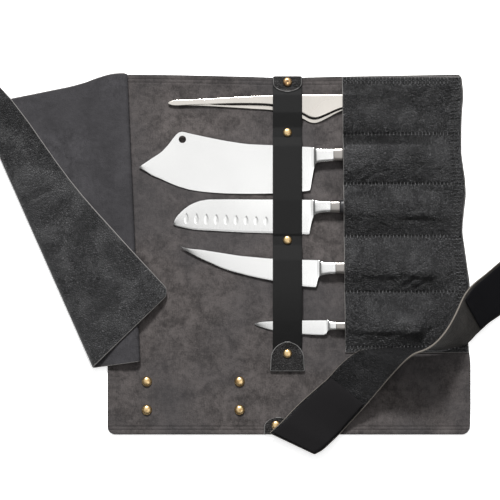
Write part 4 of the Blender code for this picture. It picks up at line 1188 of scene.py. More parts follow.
def suede_material(name, base, contrast, nap=0.3, cool=None, rules=()):
    """Napped leather: faint clouds, brushed streaks, and short fibres that stand in tufts."""
    material, tree, shader, flat = new_material(name)
    broad = cloud(tree, flat, 9.0, 2.0, 0.5, 0.3)
    middling = cloud(tree, flat, 42.0, 3.0, 0.55, 0.5)
    spots = cloud(tree, flat, 170.0, 3.0, 0.6, 0.3)
    specks = cloud(tree, flat, 560.0, 3.0, 0.7)
    streaks = cloud(tree, stretched(tree, flat, 1.0, 0.25), 620.0, 3.0, 0.65)
    fibres = cloud(tree, stretched(tree, flat, 1.0, 0.4), 2600.0, 3.0, 0.7)
    sums = plus(tree, middling, times(tree, spots, 0.65))
    sums = plus(tree, sums, times(tree, specks, 0.6))
    sums = plus(tree, sums, times(tree, streaks, 0.45))
    tone = ranged(tree, sums, 0.95, 1.7)
    mottled = blended(tree, tone, colour(*base, 1.0 - contrast), colour(*base, 1.0 + contrast))
    shade = blended(tree, ranged(tree, broad, 0.35, 0.65, 0.0, 0.55), mottled, colour(*(cool or base), 0.84))
    grey = blended(tree, ranged(tree, fibres, 0.35, 0.7, 0.0, 0.4), shade, colour(*base, 0.6))
    grey = shaded_along(tree, grey, rules)
    tree.links.new(grey, shader.inputs["Base Color"])
    shader.inputs["Roughness"].default_value = 0.95
    shader.inputs["Specular IOR Level"].default_value = 0.1
    shader.inputs["Sheen Weight"].default_value = nap
    shader.inputs["Sheen Roughness"].default_value = 0.55
    heights = plus(tree, times(tree, fibres, 0.5), specks)
    first = bump(tree, heights, 0.0006, 0.8)
    tree.links.new(bump(tree, spots, 0.0016, 0.4, first), shader.inputs["Normal"])
    return material


def puckered(tree, height, shade):
    """Height of leather that rows of stitches draw down and gather, and its colour with painted shade in the
    stitch holes and a painted highlight on the gathers between them.
    """
    for title in SEAM_MAPS:
        parts = add(tree, "SeparateXYZ", {"Vector": add(tree, "UVMap", uv_map=title).outputs["UV"]}).outputs
        step = calculate(tree, "FRACT", times(tree, parts["Y"], 1.0 / STITCH_PITCH), 0.0)
        off = calculate(tree, "ABSOLUTE", calculate(tree, "SUBTRACT", step, 0.5), 0.0)
        between = ranged(tree, off, 0.25, 0.42)
        under = ranged(tree, off, 0.38, 0.28)
        hole = times(tree, ranged(tree, parts["X"], 0.0008, 0.0015, 1.0, 0.0), under)
        swell = times(tree, ranged(tree, parts["X"], 0.0010, 0.0032, 1.0, 0.0), between)
        drawn = calculate(tree, "SUBTRACT", times(tree, swell, 3.0),
                          times(tree, hole, 2.0))
        plain = ranged(tree, parts["X"], 0.0012, 0.0040, 0.25, 1.0)
        height = plus(tree, times(tree, height, plain), drawn)
        # Painted shade in the stitch holes, and a painted highlight on the raised gathers between them.
        shade = blended(tree, times(tree, hole, 0.95), shade, (0.002, 0.002, 0.002, 1.0))
        shade = blended(tree, times(tree, swell, 0.6), shade, (0.085, 0.085, 0.087, 1.0))
    return height, shade


def grain_material(name, base, pebble, gloss, relief=0.8, shine=0.25, crumple=0.6, stitched=False, rules=()):
    """Grain leather: rounded pebbles between creases, in patches of strong and weak grain; painted shade
    darkens the creases, and the pebble tops vary in tone at random, which also stands in for painted glints.
    """
    material, tree, shader, flat = new_material(name)
    warp = add(tree, "TexNoise", {"Vector": flat, "Scale": 200.0, "Detail": 3.0}).outputs["Color"]
    shift = add(tree, "VectorMath", {0: warp, 1: (0.0011, 0.0011, 0.0)}, operation="MULTIPLY")
    place = add(tree, "VectorMath", {0: flat, 1: shift.outputs[0]}, operation="ADD").outputs[0]
    cells = add(tree, "TexVoronoi", {"Vector": place, "Scale": 1.0 / pebble, "Randomness": 0.95},
                feature="DISTANCE_TO_EDGE").outputs["Distance"]
    small = add(tree, "TexVoronoi", {"Vector": place, "Scale": 2.1 / pebble, "Randomness": 1.0},
                feature="DISTANCE_TO_EDGE").outputs["Distance"]
    tilt = add(tree, "TexVoronoi", {"Vector": place, "Scale": 1.0 / pebble, "Randomness": 0.95},
               feature="F1").outputs["Color"]
    uneven = add(tree, "SeparateXYZ", {"Vector": tilt}).outputs["X"]
    lumps = plus(tree, ranged(tree, cells, 0.0, 0.34), times(
        tree, ranged(tree, small, 0.0, 0.3), 0.4))
    lumps = plus(tree, lumps, times(tree, uneven, 0.35))
    patches = ranged(tree, cloud(tree, flat, 30.0, 3.0, 0.6, 0.5), 0.36, 0.62, 0.35, 1.0)
    height = times(tree, lumps, patches)
    folds = cloud(tree, flat, 70.0, 4.0, 0.6, 1.0)
    wrinkles = cloud(tree, stretched(tree, flat, 1.0, 2.2), 190.0, 2.0, 0.5, 1.4)
    broad = cloud(tree, flat, 12.0, 2.0)
    # Painted shade darkens the creases between pebbles, and the pebble tops vary in tone at random, partly as
    # painted glints.
    crease_shade_mask = ranged(tree, cells, 0.0, 0.16)
    tone_and_glint_spread = times(tree, calculate(tree, "SUBTRACT", uneven, 0.5), patches)
    tops = blended(tree, plus(tree, tone_and_glint_spread, 0.5), colour(*base, 0.35), colour(*base, 1.9))
    body = blended(tree, crease_shade_mask, colour(*base, 0.25), tops)
    toned = blended(tree, ranged(tree, broad, 0.3, 0.7, 0.0, 0.6), body, colour(*base, 0.7))
    height = plus(tree, height, times(tree, wrinkles, 1.1))
    toned = shaded_along(tree, toned, rules)
    if stitched:
        height, toned = puckered(tree, height, toned)
    tree.links.new(toned, shader.inputs["Base Color"])
    rough = ranged(tree, folds, 0.25, 0.75, gloss, gloss + 0.14)
    tree.links.new(rough, shader.inputs["Roughness"])
    shader.inputs["Specular IOR Level"].default_value = shine
    first = bump(tree, height, 0.00042 * relief)
    tree.links.new(bump(tree, folds, 0.0022, crumple * relief, first), shader.inputs["Normal"])
    return material


def edge_material(name, base):
    """Raw cut leather edge: packed fibres."""
    material, tree, shader, flat = new_material(name)
    fibres = cloud(tree, flat, 900.0, 4.0, 0.7)
    tree.links.new(blended(tree, fibres, colour(*base, 0.55), colour(*base, 1.25)),
                   shader.inputs["Base Color"])
    shader.inputs["Roughness"].default_value = 0.9
    shader.inputs["Specular IOR Level"].default_value = 0.2
    tree.links.new(bump(tree, fibres, 0.0003, 0.7), shader.inputs["Normal"])
    return material


def woven_material(name, base, thread, shine=0.1, rules=()):
    """Tight plain weave of matte thread."""
    material, tree, shader, flat = new_material(name)
    wave = {"Vector": flat, "Scale": 1.0 / thread / 2.0, "Distortion": 0.15, "Detail": 1.0}
    across = add(tree, "TexWave", wave, bands_direction="X").outputs["Fac"]
    along = add(tree, "TexWave", {**wave, "Scale": 1.0 / thread / 3.2}, bands_direction="Y").outputs["Fac"]
    weave = calculate(tree, "MAXIMUM", times(tree, across, 0.8), along)
    fuzz = cloud(tree, flat, 1500.0, 2.0)
    tone = plus(tree, times(tree, weave, 0.7), times(
        tree, fuzz, 0.3))
    woven = blended(tree, tone, colour(*base, 0.45), colour(*base, 1.2))
    tree.links.new(shaded_along(tree, woven, rules), shader.inputs["Base Color"])
    shader.inputs["Roughness"].default_value = 0.88
    shader.inputs["Specular IOR Level"].default_value = shine
    tree.links.new(bump(tree, weave, 0.0003, 0.8), shader.inputs["Normal"])
    return material


def steel_material(name, base, rough, streak=0.06):
    """Ground steel: long fine polishing lines."""
    material, tree, shader, flat = new_material(name)
    lines = cloud(tree, stretched(tree, flat, 1.0, 0.02), 5200.0, 3.0, 0.6)
    broad = cloud(tree, flat, 26.0, 2.0)
    tree.links.new(blended(tree, ranged(tree, lines, 0.3, 0.7), colour(*base, 1.0 - streak),
                           colour(*base, 1.0)), shader.inputs["Base Color"])
    shader.inputs["Metallic"].default_value = 1.0
    tree.links.new(ranged(tree, broad, 0.3, 0.7, rough, rough + 0.06), shader.inputs["Roughness"])
    tree.links.new(bump(tree, lines, 0.00001, 0.4), shader.inputs["Normal"])
    return material


def brass_material(name, base, stain, rough):
    """Aged brass with stains in patches."""
    material, tree, shader, _ = new_material(name)
    place = add(tree, "TexCoord").outputs["Object"]
    patches = cloud(tree, place, 260.0, 4.0, 0.6)
    pits = cloud(tree, place, 1800.0, 3.0, 0.6)
    tree.links.new(blended(tree, ranged(tree, patches, 0.42, 0.68), colour(*base), colour(*stain)),
                   shader.inputs["Base Color"])
    shader.inputs["Metallic"].default_value = 1.0
    tree.links.new(ranged(tree, patches, 0.3, 0.7, rough, rough + 0.2), shader.inputs["Roughness"])
    tree.links.new(bump(tree, pits, 0.00005, 0.5), shader.inputs["Normal"])
    return material


def plastic_material(name, base):
    """Moulded plastic with a fine matte texture."""
    material, tree, shader, flat = new_material(name)
    fine = cloud(tree, flat, 2200.0, 2.0)
    tree.links.new(blended(tree, fine, colour(*base, 0.8), colour(*base, 1.2)),
                   shader.inputs["Base Color"])
    shader.inputs["Roughness"].default_value = 0.45
    tree.links.new(bump(tree, fine, 0.00008, 0.5), shader.inputs["Normal"])
    return material


def thread_material(name, base):
    """Twisted thread."""
    material, tree, shader, flat = new_material(name)
    twist = cloud(tree, flat, 2500.0, 2.0)
    tree.links.new(blended(tree, twist, colour(*base, 0.6), colour(*base, 1.3)),
                   shader.inputs["Base Color"])
    shader.inputs["Roughness"].default_value = 0.6
    tree.links.new(bump(tree, twist, 0.0001, 0.5), shader.inputs["Normal"])
    return material


PANEL_SUEDE = suede_material("panel_suede", (68, 64, 63), 0.62, 0.1, (63, 62, 64), [
    (("X", 0.10, 0.18), ("Y", -0.09, -0.17), 0.97), (("Y", 0.165, 0.21), 0.84)])
FLAP_SUEDE = suede_material("flap_suede", (55, 54, 56), 0.4, 0.0)
STRAP_SUEDE = suede_material("strap_suede", (40, 38, 36), 0.6, 0.05)
# The flap's grain side is painted darker towards the top: painted shade of the curving leather.
FLAP_GRAIN = grain_material("flap_grain", (50, 50, 51), 0.0024, 0.36, 2.4, 0.3, 0.08, False, [
    (("Y", 0.08, 0.17), 0.6)])
# These rules are painted shade: a painted shadow of the first pocket's bulge in a band just below its lower
# seam, painted shade over the first pocket and more on its upper part, and painted shade on the upper and
# lower parts of the third pocket.
BLACK_GRAIN = grain_material("black_grain", (50, 50, 51), 0.0025, 0.33, 3.0, 0.3, 0.5, True, [
    (("Y", 0.1362, 0.1386), ("Y", 0.1500, 0.1488), ("X", 0.205, 0.16), 0.30),
    (("Y", 0.152, 0.156), 0.84),
    (("Y", 0.180, 0.195), ("Y", 0.217, 0.210), 0.72),
    (("Y", 0.070, 0.074), ("Y", 0.088, 0.085), 0.78),
    (("Y", 0.052, 0.045), ("Y", 0.021, 0.027), 0.6)])
STRAP_GRAIN = grain_material("strap_grain", (29, 29, 30), 0.0022, 0.38, 2.2, 0.16, 0.3)
TAB_GRAIN = grain_material("tab_grain", (44, 43, 43), 0.0022, 0.40, 2.2, 0.2, 0.4)
PANEL_GRAIN = grain_material("panel_grain", (40, 40, 41), 0.0024, 0.42, 0.8)
RAW_EDGE = edge_material("raw_edge", (112, 110, 108))
DARK_EDGE = edge_material("dark_edge", (58, 57, 57))
STRAP_EDGE = edge_material("strap_edge", (104, 99, 93))
TAB_EDGE = edge_material("tab_edge", (104, 103, 102))
BAND_WEAVE = woven_material("band_weave", (35, 35, 35), 0.0009, 0.1, [(("Y", -0.02, -0.10), 0.6)])
HOOK_TAPE = woven_material("hook_tape", (27, 26, 27), 0.0013, 0.07)
LOOP_TAPE = woven_material("loop_tape", (17, 17, 19), 0.0011, 0.04)
BLADE_STEEL = steel_material("blade_steel", (240, 240, 239), 0.2)
RING_STEEL = steel_material("ring_steel", (158, 154, 150), 0.3)
TWEEZER_STEEL = steel_material("tweezer_steel", (214, 209, 202), 0.24)
HANDLE_BLACK = plastic_material("handle_black", (30, 30, 32))
BRASS = brass_material("aged_brass", (214, 186, 138), (150, 118, 74), 0.22)
WORN_BRASS = brass_material("worn_brass", (168, 138, 100), (104, 78, 54), 0.32)
THREAD = thread_material("thread", (13, 13, 14))


# Main panel

GROOVE_INSETS = (0.0050, 0.0095)
GROOVE_WIDTH = 0.0007
GROOVE_DEPTH = 0.0006


def panel_rows():
    """Fine grid of the main panel's middle surface."""
    close = [inset + step for inset in GROOVE_INSETS for step in (-0.0009, 0.0, 0.0009)]
    even = spread(0.0, 1.0, 181) + spread(0.0, 0.04, 12) + spread(0.96, 1.0, 12)
    ups = sorted(set(even + [inset / PANEL_WIDTH for inset in close]
                     + [1 - inset / PANEL_WIDTH for inset in close]))
    overs = sorted(set(even + [inset / PANEL_LENGTH for inset in close]))
    corners = [
        (0.0, 0.0, PANEL_CORNER), (1.0, 0.0, PANEL_CORNER),
        (1.0, 1.0, PANEL_CORNER / 2), (0.0, 1.0, PANEL_CORNER / 3)]
    rows = []
    for up in ups:
        row = []
        for over in overs:
            right = PANEL_LENGTH * (0.5 - curve_value(RIGHT_EDGE, up, 1))
            top = PANEL_WIDTH * (0.5 - curve_value(TOP_EDGE, over, 1))
            x = mix(-PANEL_LENGTH / 2, right, over)
            y = mix(-PANEL_WIDTH / 2, top, up)
            for corner_x, corner_y, radius in corners:
                side = 1 - abs(over - corner_x) * PANEL_LENGTH / radius
                rise = 1 - abs(up - corner_y) * PANEL_WIDTH / radius
                if side > 0 and rise > 0:
                    x += (side - side * math.sqrt(1 - rise ** 2 / 2)) * radius * (1 if corner_x == 0 else -1)
                    y += (rise - rise * math.sqrt(1 - side ** 2 / 2)) * radius * (1 if corner_y == 0 else -1)
            row.append(Vector((x, y, PANEL_THICK / 2)))
        rows.append(row)
    return rows


def panel_relief(rows):
    """Pressed double lines along three edges, and faint unevenness of the upper side."""
    relief = []
    for row in rows:
        line = []
        for point in row:
            value = 0.00012 * ripple(point.x, point.y, 0.03, 1.5)
            left = point.x + PANEL_LENGTH / 2
            low = point.y + PANEL_WIDTH / 2
            high = top_edge_y(point.x) - point.y
            for inset in GROOVE_INSETS:
                for distance in (left, low, high):
                    value -= GROOVE_DEPTH * math.exp(-((distance - inset) / GROOVE_WIDTH) ** 2)
            line.append(min(value, 0.0001))
        relief.append(line)
    return relief


def make_panel():
    rows = panel_rows()
    thing = skin("panel_leather", rows, rows, PANEL_THICK, [PANEL_SUEDE, PANEL_GRAIN, DARK_EDGE],
                 panel_relief(rows), 0.2)
    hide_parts("base_panel")


# Pocket panel

POCKET_UP = 42
POCKET_ALONG = 126
# Flat strips beside the seams: above the first pocket, and below the last one
TOP_HEM = 0.0080
LOWER_HEM = 0.0055
# Rows of stitches: insets from the top edge and from the right edge
TOP_SEAMS = (0.0021, 0.0071)
RIGHT_SEAMS = (0.0067, 0.0115)
# Least distance of the sheet's middle from what lies in a pocket
DRAPE_REACH = 0.0017
DRAPE_ROUNDS = 260
DRAPE_SPEED = 1.86
# Reach of the gathers beside a seam, and the runs over which all waves fade to the edge and to a seam
GATHER_REACH = 0.010
WAVE_END = 0.010
WAVE_SEAM = 0.004
# Share of a pocket's height from its upper seam, and the fullness of the leather there, per metre
POCKET_PUFF = [
    [(0.0, 10.0), (0.15, -6.0), (0.45, -8.0), (0.62, 10.0), (0.8, 45.0), (1.0, 70.0)],
    [(0.0, -40.0), (0.18, -40.0), (0.26, 14.0), (0.5, 16.0), (0.75, 20.0), (1.0, 20.0)],
    [(0.0, 4.0), (0.18, -26.0), (0.32, -14.0), (0.45, 0.0), (0.7, -6.0), (1.0, 4.0)],
    [(0.0, 10.0), (0.35, 10.0), (0.55, 0.0), (0.75, -12.0), (1.0, -4.0)],
    [(0.0, 12.0), (0.35, 12.0), (0.6, 2.0), (0.85, -10.0), (1.0, -6.0)],
]
# Creases: the plan points of both ends, depth and half width
POCKET_CREASES = [
    (0.1390, -0.0400, 0.1800, -0.0165, 0.0022, 0.0024),
    (0.1480, -0.0440, 0.1960, -0.0235, 0.0014, 0.0020),
    (0.1180, -0.0330, 0.1540, -0.0180, 0.0012, 0.0020),
    (0.1300, 0.0440, 0.2040, 0.0415, 0.0016, 0.0026),
    (0.0760, -0.0860, 0.1290, -0.0835, 0.0010, 0.0018),
    (0.0790, -0.0925, 0.1390, -0.0900, 0.0010, 0.0018),
    (0.0760, -0.0990, 0.1340, -0.1000, 0.0010, 0.0018),
    (0.1320, 0.1580, 0.1700, 0.1790, 0.0010, 0.0034),
    (0.0800, 0.1960, 0.1900, 0.2010, 0.0008, 0.0050),
    (0.0790, 0.0980, 0.1140, 0.1130, 0.0009, 0.0024),
    (0.0840, 0.0905, 0.1290, 0.1080, 0.0009, 0.0022),
    (0.0900, -0.0300, 0.1300, -0.0210, 0.0009, 0.0020),
    (0.0700, 0.0560, 0.0980, 0.0665, 0.0008, 0.0022),
]


def need_over(points, place_x, place_y, base):
    """Least rise over a base at each place of a grid that keeps clear of points below."""
    need = np.zeros(place_x.shape)
    rows, columns = place_x.shape
    step_y = (place_y[-1, 0] - place_y[0, 0]) / (rows - 1)
    step_x = (place_x[0, -1] - place_x[0, 0]) / (columns - 1)
    points = np.array([tuple(point) for point in points])
    row = np.rint((points[:, 1] - place_y[0, 0]) / step_y).astype(int)
    inside = (row >= 0) & (row < rows)
    points, row = points[inside], row[inside]
    column = np.rint((points[:, 0] - place_x[row, 0]) / step_x).astype(int)
    reach = 2
    for up in range(-reach, reach + 1):
        for over in range(-reach, reach + 1):
            near_row = row + up
            near_column = column + over
            kept = (near_row >= 0) & (near_row < rows) & (near_column >= 0) & (near_column < columns)
            spots = points[kept]
            at = (near_row[kept], near_column[kept])
            away = (place_x[at] - spots[:, 0]) ** 2 + (place_y[at] - spots[:, 1]) ** 2
            lift = DRAPE_REACH ** 2 - away
            rise = spots[:, 2] + np.sqrt(np.maximum(lift, 0.0)) - base
            rise[lift < 0] = 0.0
            np.maximum.at(need, at, rise)
    return need


def draped(need, load, step_x, step_y):
    """Rise of a sheet drawn over its contents, held down at three seams and free at the mouth."""
    rise = need.copy()
    rows, columns = need.shape
    chequer = np.add.outer(np.arange(rows), np.arange(columns)) % 2
    moving = np.ones(need.shape, dtype=bool)
    moving[0, :] = moving[-1, :] = moving[:, -1] = False
    weight_x = 1 / step_x ** 2
    weight_y = 1 / step_y ** 2
    total = 2 * (weight_x + weight_y)
    for _ in range(DRAPE_ROUNDS):
        for part in (0, 1):
            left = np.hstack((rise[:, 1:2], rise[:, :-1]))
            right = np.hstack((rise[:, 1:], rise[:, -1:]))
            above = np.vstack((rise[1:], rise[-1:]))
            below = np.vstack((rise[:1], rise[:-1]))
            wanted = (weight_x * (left + right) + weight_y * (above + below) + load) / total
            moved = np.maximum(rise + DRAPE_SPEED * (wanted - rise), need)
            rise = np.where(moving & (chequer == part), moved, rise)
    return rise


def creased(rise, place_x, place_y):
    """Rise with long creases pressed in."""
    for start_x, start_y, end_x, end_y, depth, width in POCKET_CREASES:
        length = math.hypot(end_x - start_x, end_y - start_y)
        along_x = (end_x - start_x) / length
        along_y = (end_y - start_y) / length
        along = (place_x - start_x) * along_x + (place_y - start_y) * along_y
        bend = 0.0012 * np.sin(along / length * 9.0)
        across = (place_y - start_y) * along_x - (place_x - start_x) * along_y + bend
        inside = np.clip(along / length, 0.0, 1.0)
        ends = np.clip(4 * inside * (1 - inside), 0.0, 1.0) ** 0.7
        rise = rise - depth * ends * np.exp(-(across / width) ** 2)
        rise = rise + 0.45 * depth * ends * np.exp(-((across - 1.9 * width) / width) ** 2)
    return rise


def fine_pocket(index):
    """Plan places and rise of one pocket, from its lower seam up and from its mouth to the edge seam."""
    lines = pocket_lines()
    top = lines[index] - (TOP_HEM if index == 0 else 0.0)
    bottom = lines[index + 1]
    heights = np.linspace(bottom, top, POCKET_UP)
    starts = np.array([mouth_x(y) for y in heights])
    ends = np.array([right_edge_x(y) - EDGE_SEAM for y in heights])
    shares = np.linspace(0.0, 1.0, POCKET_ALONG)
    place_x = starts[:, None] + (ends - starts)[:, None] * shares[None, :]
    place_y = np.repeat(heights[:, None], POCKET_ALONG, axis=1)
    base = SHEET_BASE + POCKET_THICK / 2
    need = need_over(fine_contents(index), place_x, place_y, base)
    down = (top - heights) / (top - bottom)
    load = np.array([curve_value(POCKET_PUFF[index], share, 1) for share in down])[:, None]
    load = load * (1 - 0.7 * shares[None, :] ** 2)
    rise = draped(need, load, place_x[0, 1] - place_x[0, 0], heights[1] - heights[0])
    rise = creased(rise, place_x, place_y)
    seam = np.minimum(place_y - bottom, top - place_y)
    for row in range(1, POCKET_UP - 1):
        for column in range(POCKET_ALONG - 1):
            x, y = place_x[row, column], place_y[row, column]
            near = math.exp(-(seam[row, column] / GATHER_REACH) ** 2)
            wave = 0.0011 * near * ripple(x, y * 0.4, 0.0052, 3.1 + index)
            wave += 0.0013 * ripple(x * 0.8, y * 1.2, 0.017, 7.7 + index)
            wave += 0.0005 * ripple(x, y, 0.0065, 5.3)
            edge = smooth((ends[row] - x) / WAVE_END) * smooth(seam[row, column] / WAVE_SEAM)
            rise[row, column] += wave * edge
    rise = np.maximum(rise, need)
    inner = rise[1:-1, 1:-1]
    around = (rise[:-2, 1:-1] + rise[2:, 1:-1] + rise[1:-1, :-2] + rise[1:-1, 2:]) / 4
    rise[1:-1, 1:-1] = np.maximum(0.5 * inner + 0.5 * around, need[1:-1, 1:-1])
    rise[0, :] = rise[-1, :] = rise[:, -1] = 0.0
    return heights, place_x, np.maximum(rise, 0.0)


def fine_contents(index):
    """Closely spaced world points of what lies in a pocket."""
    if POCKET_ORDER[index] == "tweezers":
        points = []
        for point, half in refined(tweezer_stations(), TWEEZER_ROUNDS):
            for side in spread(-1.0, 1.0, 21):
                points.append(point + Vector((0, side * half, TWEEZER_PLATE / 2)))
        return points
    name = POCKET_ORDER[index]
    sections = fine_ring_sections(KNIVES[name]) + fine_handle_sections(KNIVES[name])
    place = knife_place(name)
    points = []
    for before, after in zip(sections, sections[1:]):
        for first, second in zip(before, after):
            points += [place @ first, place @ first.lerp(second, 0.5)]
    return points


def fine_pocket_rows():
    """Fine grid of the pocket panel's middle surface."""
    base = SHEET_BASE + POCKET_THICK / 2
    lines = pocket_lines()
    insets = (0.0103, 0.0091, 0.0079, 0.0067, 0.0055, 0.0042, 0.0029, 0.0016, POCKET_EDGE_INSET)
    rows = []

    def add_row(y, rises, starts):
        row = [Vector((x, y, base + rise)) for x, rise in zip(starts, rises)]
        row += [Vector((right_edge_x(y) - inset, y, base)) for inset in insets]
        rows.append(row)

    def flat_row(y):
        seam = right_edge_x(y) - EDGE_SEAM
        add_row(y, [0.0] * POCKET_ALONG, spread(mouth_x(y), seam, POCKET_ALONG))

    for inset in (1.0, 0.8, 0.6, 0.4, 0.2):
        flat_row(lines[-1] - LOWER_HEM * inset)
    for index in reversed(range(len(POCKET_HEIGHTS))):
        heights, place_x, rise = fine_pocket(index)
        for row in range(0 if index == len(POCKET_HEIGHTS) - 1 else 1, POCKET_UP):
            add_row(heights[row], rise[row], place_x[row])
    for inset in (0.0071, 0.0061, 0.0046, 0.0031, 0.0021, 0.0011, 0.0):
        flat_row(lines[0] - inset)
    return rows


def seam_distances(rows):
    """Distance of each place from the nearest row of stitches and along it, for both ways that they run."""
    lines = pocket_lines()
    level = [lines[0] - inset for inset in TOP_SEAMS] + lines[1:]
    level_rows = []
    upright_rows = []
    for row in rows:
        edge = right_edge_x(row[0].y)
        across = min(abs(row[0].y - y) for y in level)
        level_rows.append([(across, point.x) for point in row])
        upright_rows.append([(min(abs(edge - inset - point.x) for inset in RIGHT_SEAMS), point.y)
                             for point in row])
    return dict(zip(SEAM_MAPS, (level_rows, upright_rows)))


def make_pockets():
    rows = fine_pocket_rows()
    thing = skin("pocket_leather", rows, rows, POCKET_THICK, [BLACK_GRAIN, STRAP_SUEDE, RAW_EDGE],
                 maps=seam_distances(rows))
    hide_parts("pocket_panel")


# Stitches

STITCH_LENGTH = 0.0027
STITCH_RADIUS = 0.00050


def stitches(name, lines, material):
    """Rows of short threads, each a small oval body, along lines of points."""
    vertices = []
    faces = []
    sides = 6
    profile = [(-0.5, 0.35), (-0.38, 0.9), (0.0, 1.0), (0.38, 0.9), (0.5, 0.35)]
    for points in lines:
        lengths = [0.0]
        for first, second in zip(points, points[1:]):
            lengths.append(lengths[-1] + (second - first).length)
        number = max(int(lengths[-1] / STITCH_PITCH), 1)
        for index in range(number):
            centre = (index + 0.5) * STITCH_PITCH
            place = 0
            while place < len(points) - 2 and lengths[place + 1] < centre:
                place += 1
            share = (centre - lengths[place]) / (lengths[place + 1] - lengths[place])
            middle = points[place].lerp(points[place + 1], share)
            along = (points[place + 1] - points[place]).normalized()
            side = along.cross(Vector((0, 0, 1))).normalized()
            up = side.cross(along)
            start = len(vertices)
            for offset, size in profile:
                for step in range(sides):
                    angle = 2 * math.pi * step / sides
                    ring = side * math.cos(angle) * 1.2 + up * math.sin(angle) * 0.8
                    vertices.append(middle + along * offset * STITCH_LENGTH + ring * STITCH_RADIUS * size)
            faces += tube_faces(start, len(profile), sides)
    uv = [(vertex.x, vertex.y) for vertex in vertices]
    thing = make_mesh(name, vertices, faces, uv, [0] * len(faces), [material])
    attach(thing, "root")
    return thing


def seam_line(y, start, end, height):
    """Points of a level row of stitches that starts on a whole stitch."""
    first = math.ceil(start / STITCH_PITCH) * STITCH_PITCH
    return [Vector((x, y, height)) for x in spread(first, end, 40)]


def make_stitches():
    lines = pocket_lines()
    top = SHEET_BASE + POCKET_THICK + STITCH_RADIUS * 0.35
    seams = []
    for y in [lines[0] - inset for inset in TOP_SEAMS] + lines[1:]:
        seams.append(seam_line(y, mouth_x(y) + 0.001, right_edge_x(y) - RIGHT_SEAMS[0], top))
    for inset in RIGHT_SEAMS:
        first = math.ceil((lines[-1] - LOWER_HEM) / STITCH_PITCH) * STITCH_PITCH
        seams.append([Vector((right_edge_x(y) - inset, y, top))
                      for y in spread(first, lines[0] - 0.0015, 120)])
    thing = stitches("pocket_stitches", seams, THREAD)
    left = -PANEL_LENGTH / 2
    sewn = [Vector((left + 0.0036, y, PANEL_THICK + LAYER_GAP + FLAP_THICK + 0.0002))
            for y in spread(lines[0] - FLAP_HEIGHT + 0.004, lines[0] - 0.004, 60)]
    hem = stitches("flap_stitches", [sewn], THREAD)


# Flap

FLAP_SHARES = sorted(set(spread(0.0, 1.0, 101) + spread(0.0, 0.04, 13) + spread(0.96, 1.0, 13)))
# Share from the hinge to the fold, and how far the upper layer's top edge stands out, in metres
TOP_HUMP = [(0.0, 0.0), (0.04, 0.0032), (0.12, 0.0050), (0.20, 0.0040), (0.30, 0.0012), (0.42, 0.0),
            (1.0, 0.0)]
# Length from the hinge that the hump's table covers, and the share of the height where the hump starts
HUMP_RUN = 0.19
HUMP_START = 0.82


def fine_flap():
    """Fine grid of the flap as a flat sheet."""
    hinge_origin, hinge_along, _ = flap_fold("hinge")
    fold_origin, fold_along, _ = flap_fold("fold")
    rolls = spread(-1.0, 1.0, 15)
    flat = []
    for share in FLAP_SHARES:
        hinge = flap_line("hinge", share)
        fold = flap_line("fold", share)
        left = -PANEL_LENGTH / 2 + FLAP_SEWN_INSET
        top = PANEL_WIDTH / 2 - FLAP_TOP_INSET
        sewn = Vector((left, top - FLAP_HEIGHT * (1 - share)))
        start = reflect(sewn, hinge_origin, hinge_along)
        end = reflect(flap_line("edge", share), fold_origin, fold_along)
        quarter_hinge = math.pi / 2 * HINGE_RADIUS
        quarter_fold = math.pi / 2 * FOLD_RADIUS
        before = hinge + (start - hinge).normalized() * quarter_hinge
        points = [start.lerp(before, step) for step in spread(0.0, 1.0, 8)[:-1]]
        for roll in reversed(rolls):
            toward = (start - hinge) if roll > 0 else (hinge - fold)
            points.append(hinge + toward.normalized() * roll * quarter_hinge)
        near = hinge + (fold - hinge).normalized() * quarter_hinge
        far = fold - (fold - hinge).normalized() * quarter_fold
        points += [near.lerp(far, step) for step in spread(0.0, 1.0, 46)[1:-1]]
        for roll in rolls:
            toward = (end - fold) if roll > 0 else (fold - hinge)
            points.append(fold + toward.normalized() * roll * quarter_fold)
        near = fold + (end - fold).normalized() * quarter_fold
        points += [near.lerp(end, step) for step in spread(0.0, 1.0, 61)[1:]]
        flat.append(points)
    round_corners(flat, FLAP_CORNER)
    return flat


def round_corners(rows, radius):
    """Round the two free corners of a fine flat grid, at the last column of its first and last row."""
    for first, lines in ((rows[0], rows), (rows[-1], list(reversed(rows)))):
        corner = first[-1].copy()
        inward = (first[-20] - corner).normalized()
        upward = (lines[20][-1] - corner).normalized()
        basis = Matrix(((inward.x, upward.x), (inward.y, upward.y))).inverted()
        for line in lines[:24]:
            for place in range(len(line) - 24, len(line)):
                across, up = basis @ (line[place] - corner)
                if across < radius and up < radius:
                    side = 1 - max(across, 0) / radius
                    rise = 1 - max(up, 0) / radius
                    new_side = side * math.sqrt(1 - rise * rise / 2)
                    new_rise = rise * math.sqrt(1 - side * side / 2)
                    shift = inward * (1 - new_side) * radius + upward * (1 - new_rise) * radius
                    line[place] = corner + shift


def make_flap():
    flat = fine_flap()
    rows = []
    hinge_origin, _, hinge_right = flap_fold("hinge")
    for share, line in zip(FLAP_SHARES, flat):
        row = []
        for point in line:
            place = flap_point(point)
            past = -(point - hinge_origin).dot(hinge_right)
            hump = curve_value(TOP_HUMP, min(max(past / HUMP_RUN, 0.0), 1.0), 1)
            place.y += hump * smooth((share - HUMP_START) / (1 - HUMP_START))
            row.append(place)
        rows.append(row)
    thing = skin("flap_leather_sheet", rows, flat, FLAP_THICK, [FLAP_GRAIN, FLAP_SUEDE, RAW_EDGE], bulge=0.5)
    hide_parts("blade_flap")


# Band and tabs

# Crease in the end tab below its snap
END_CREASE_DROP = 0.0106


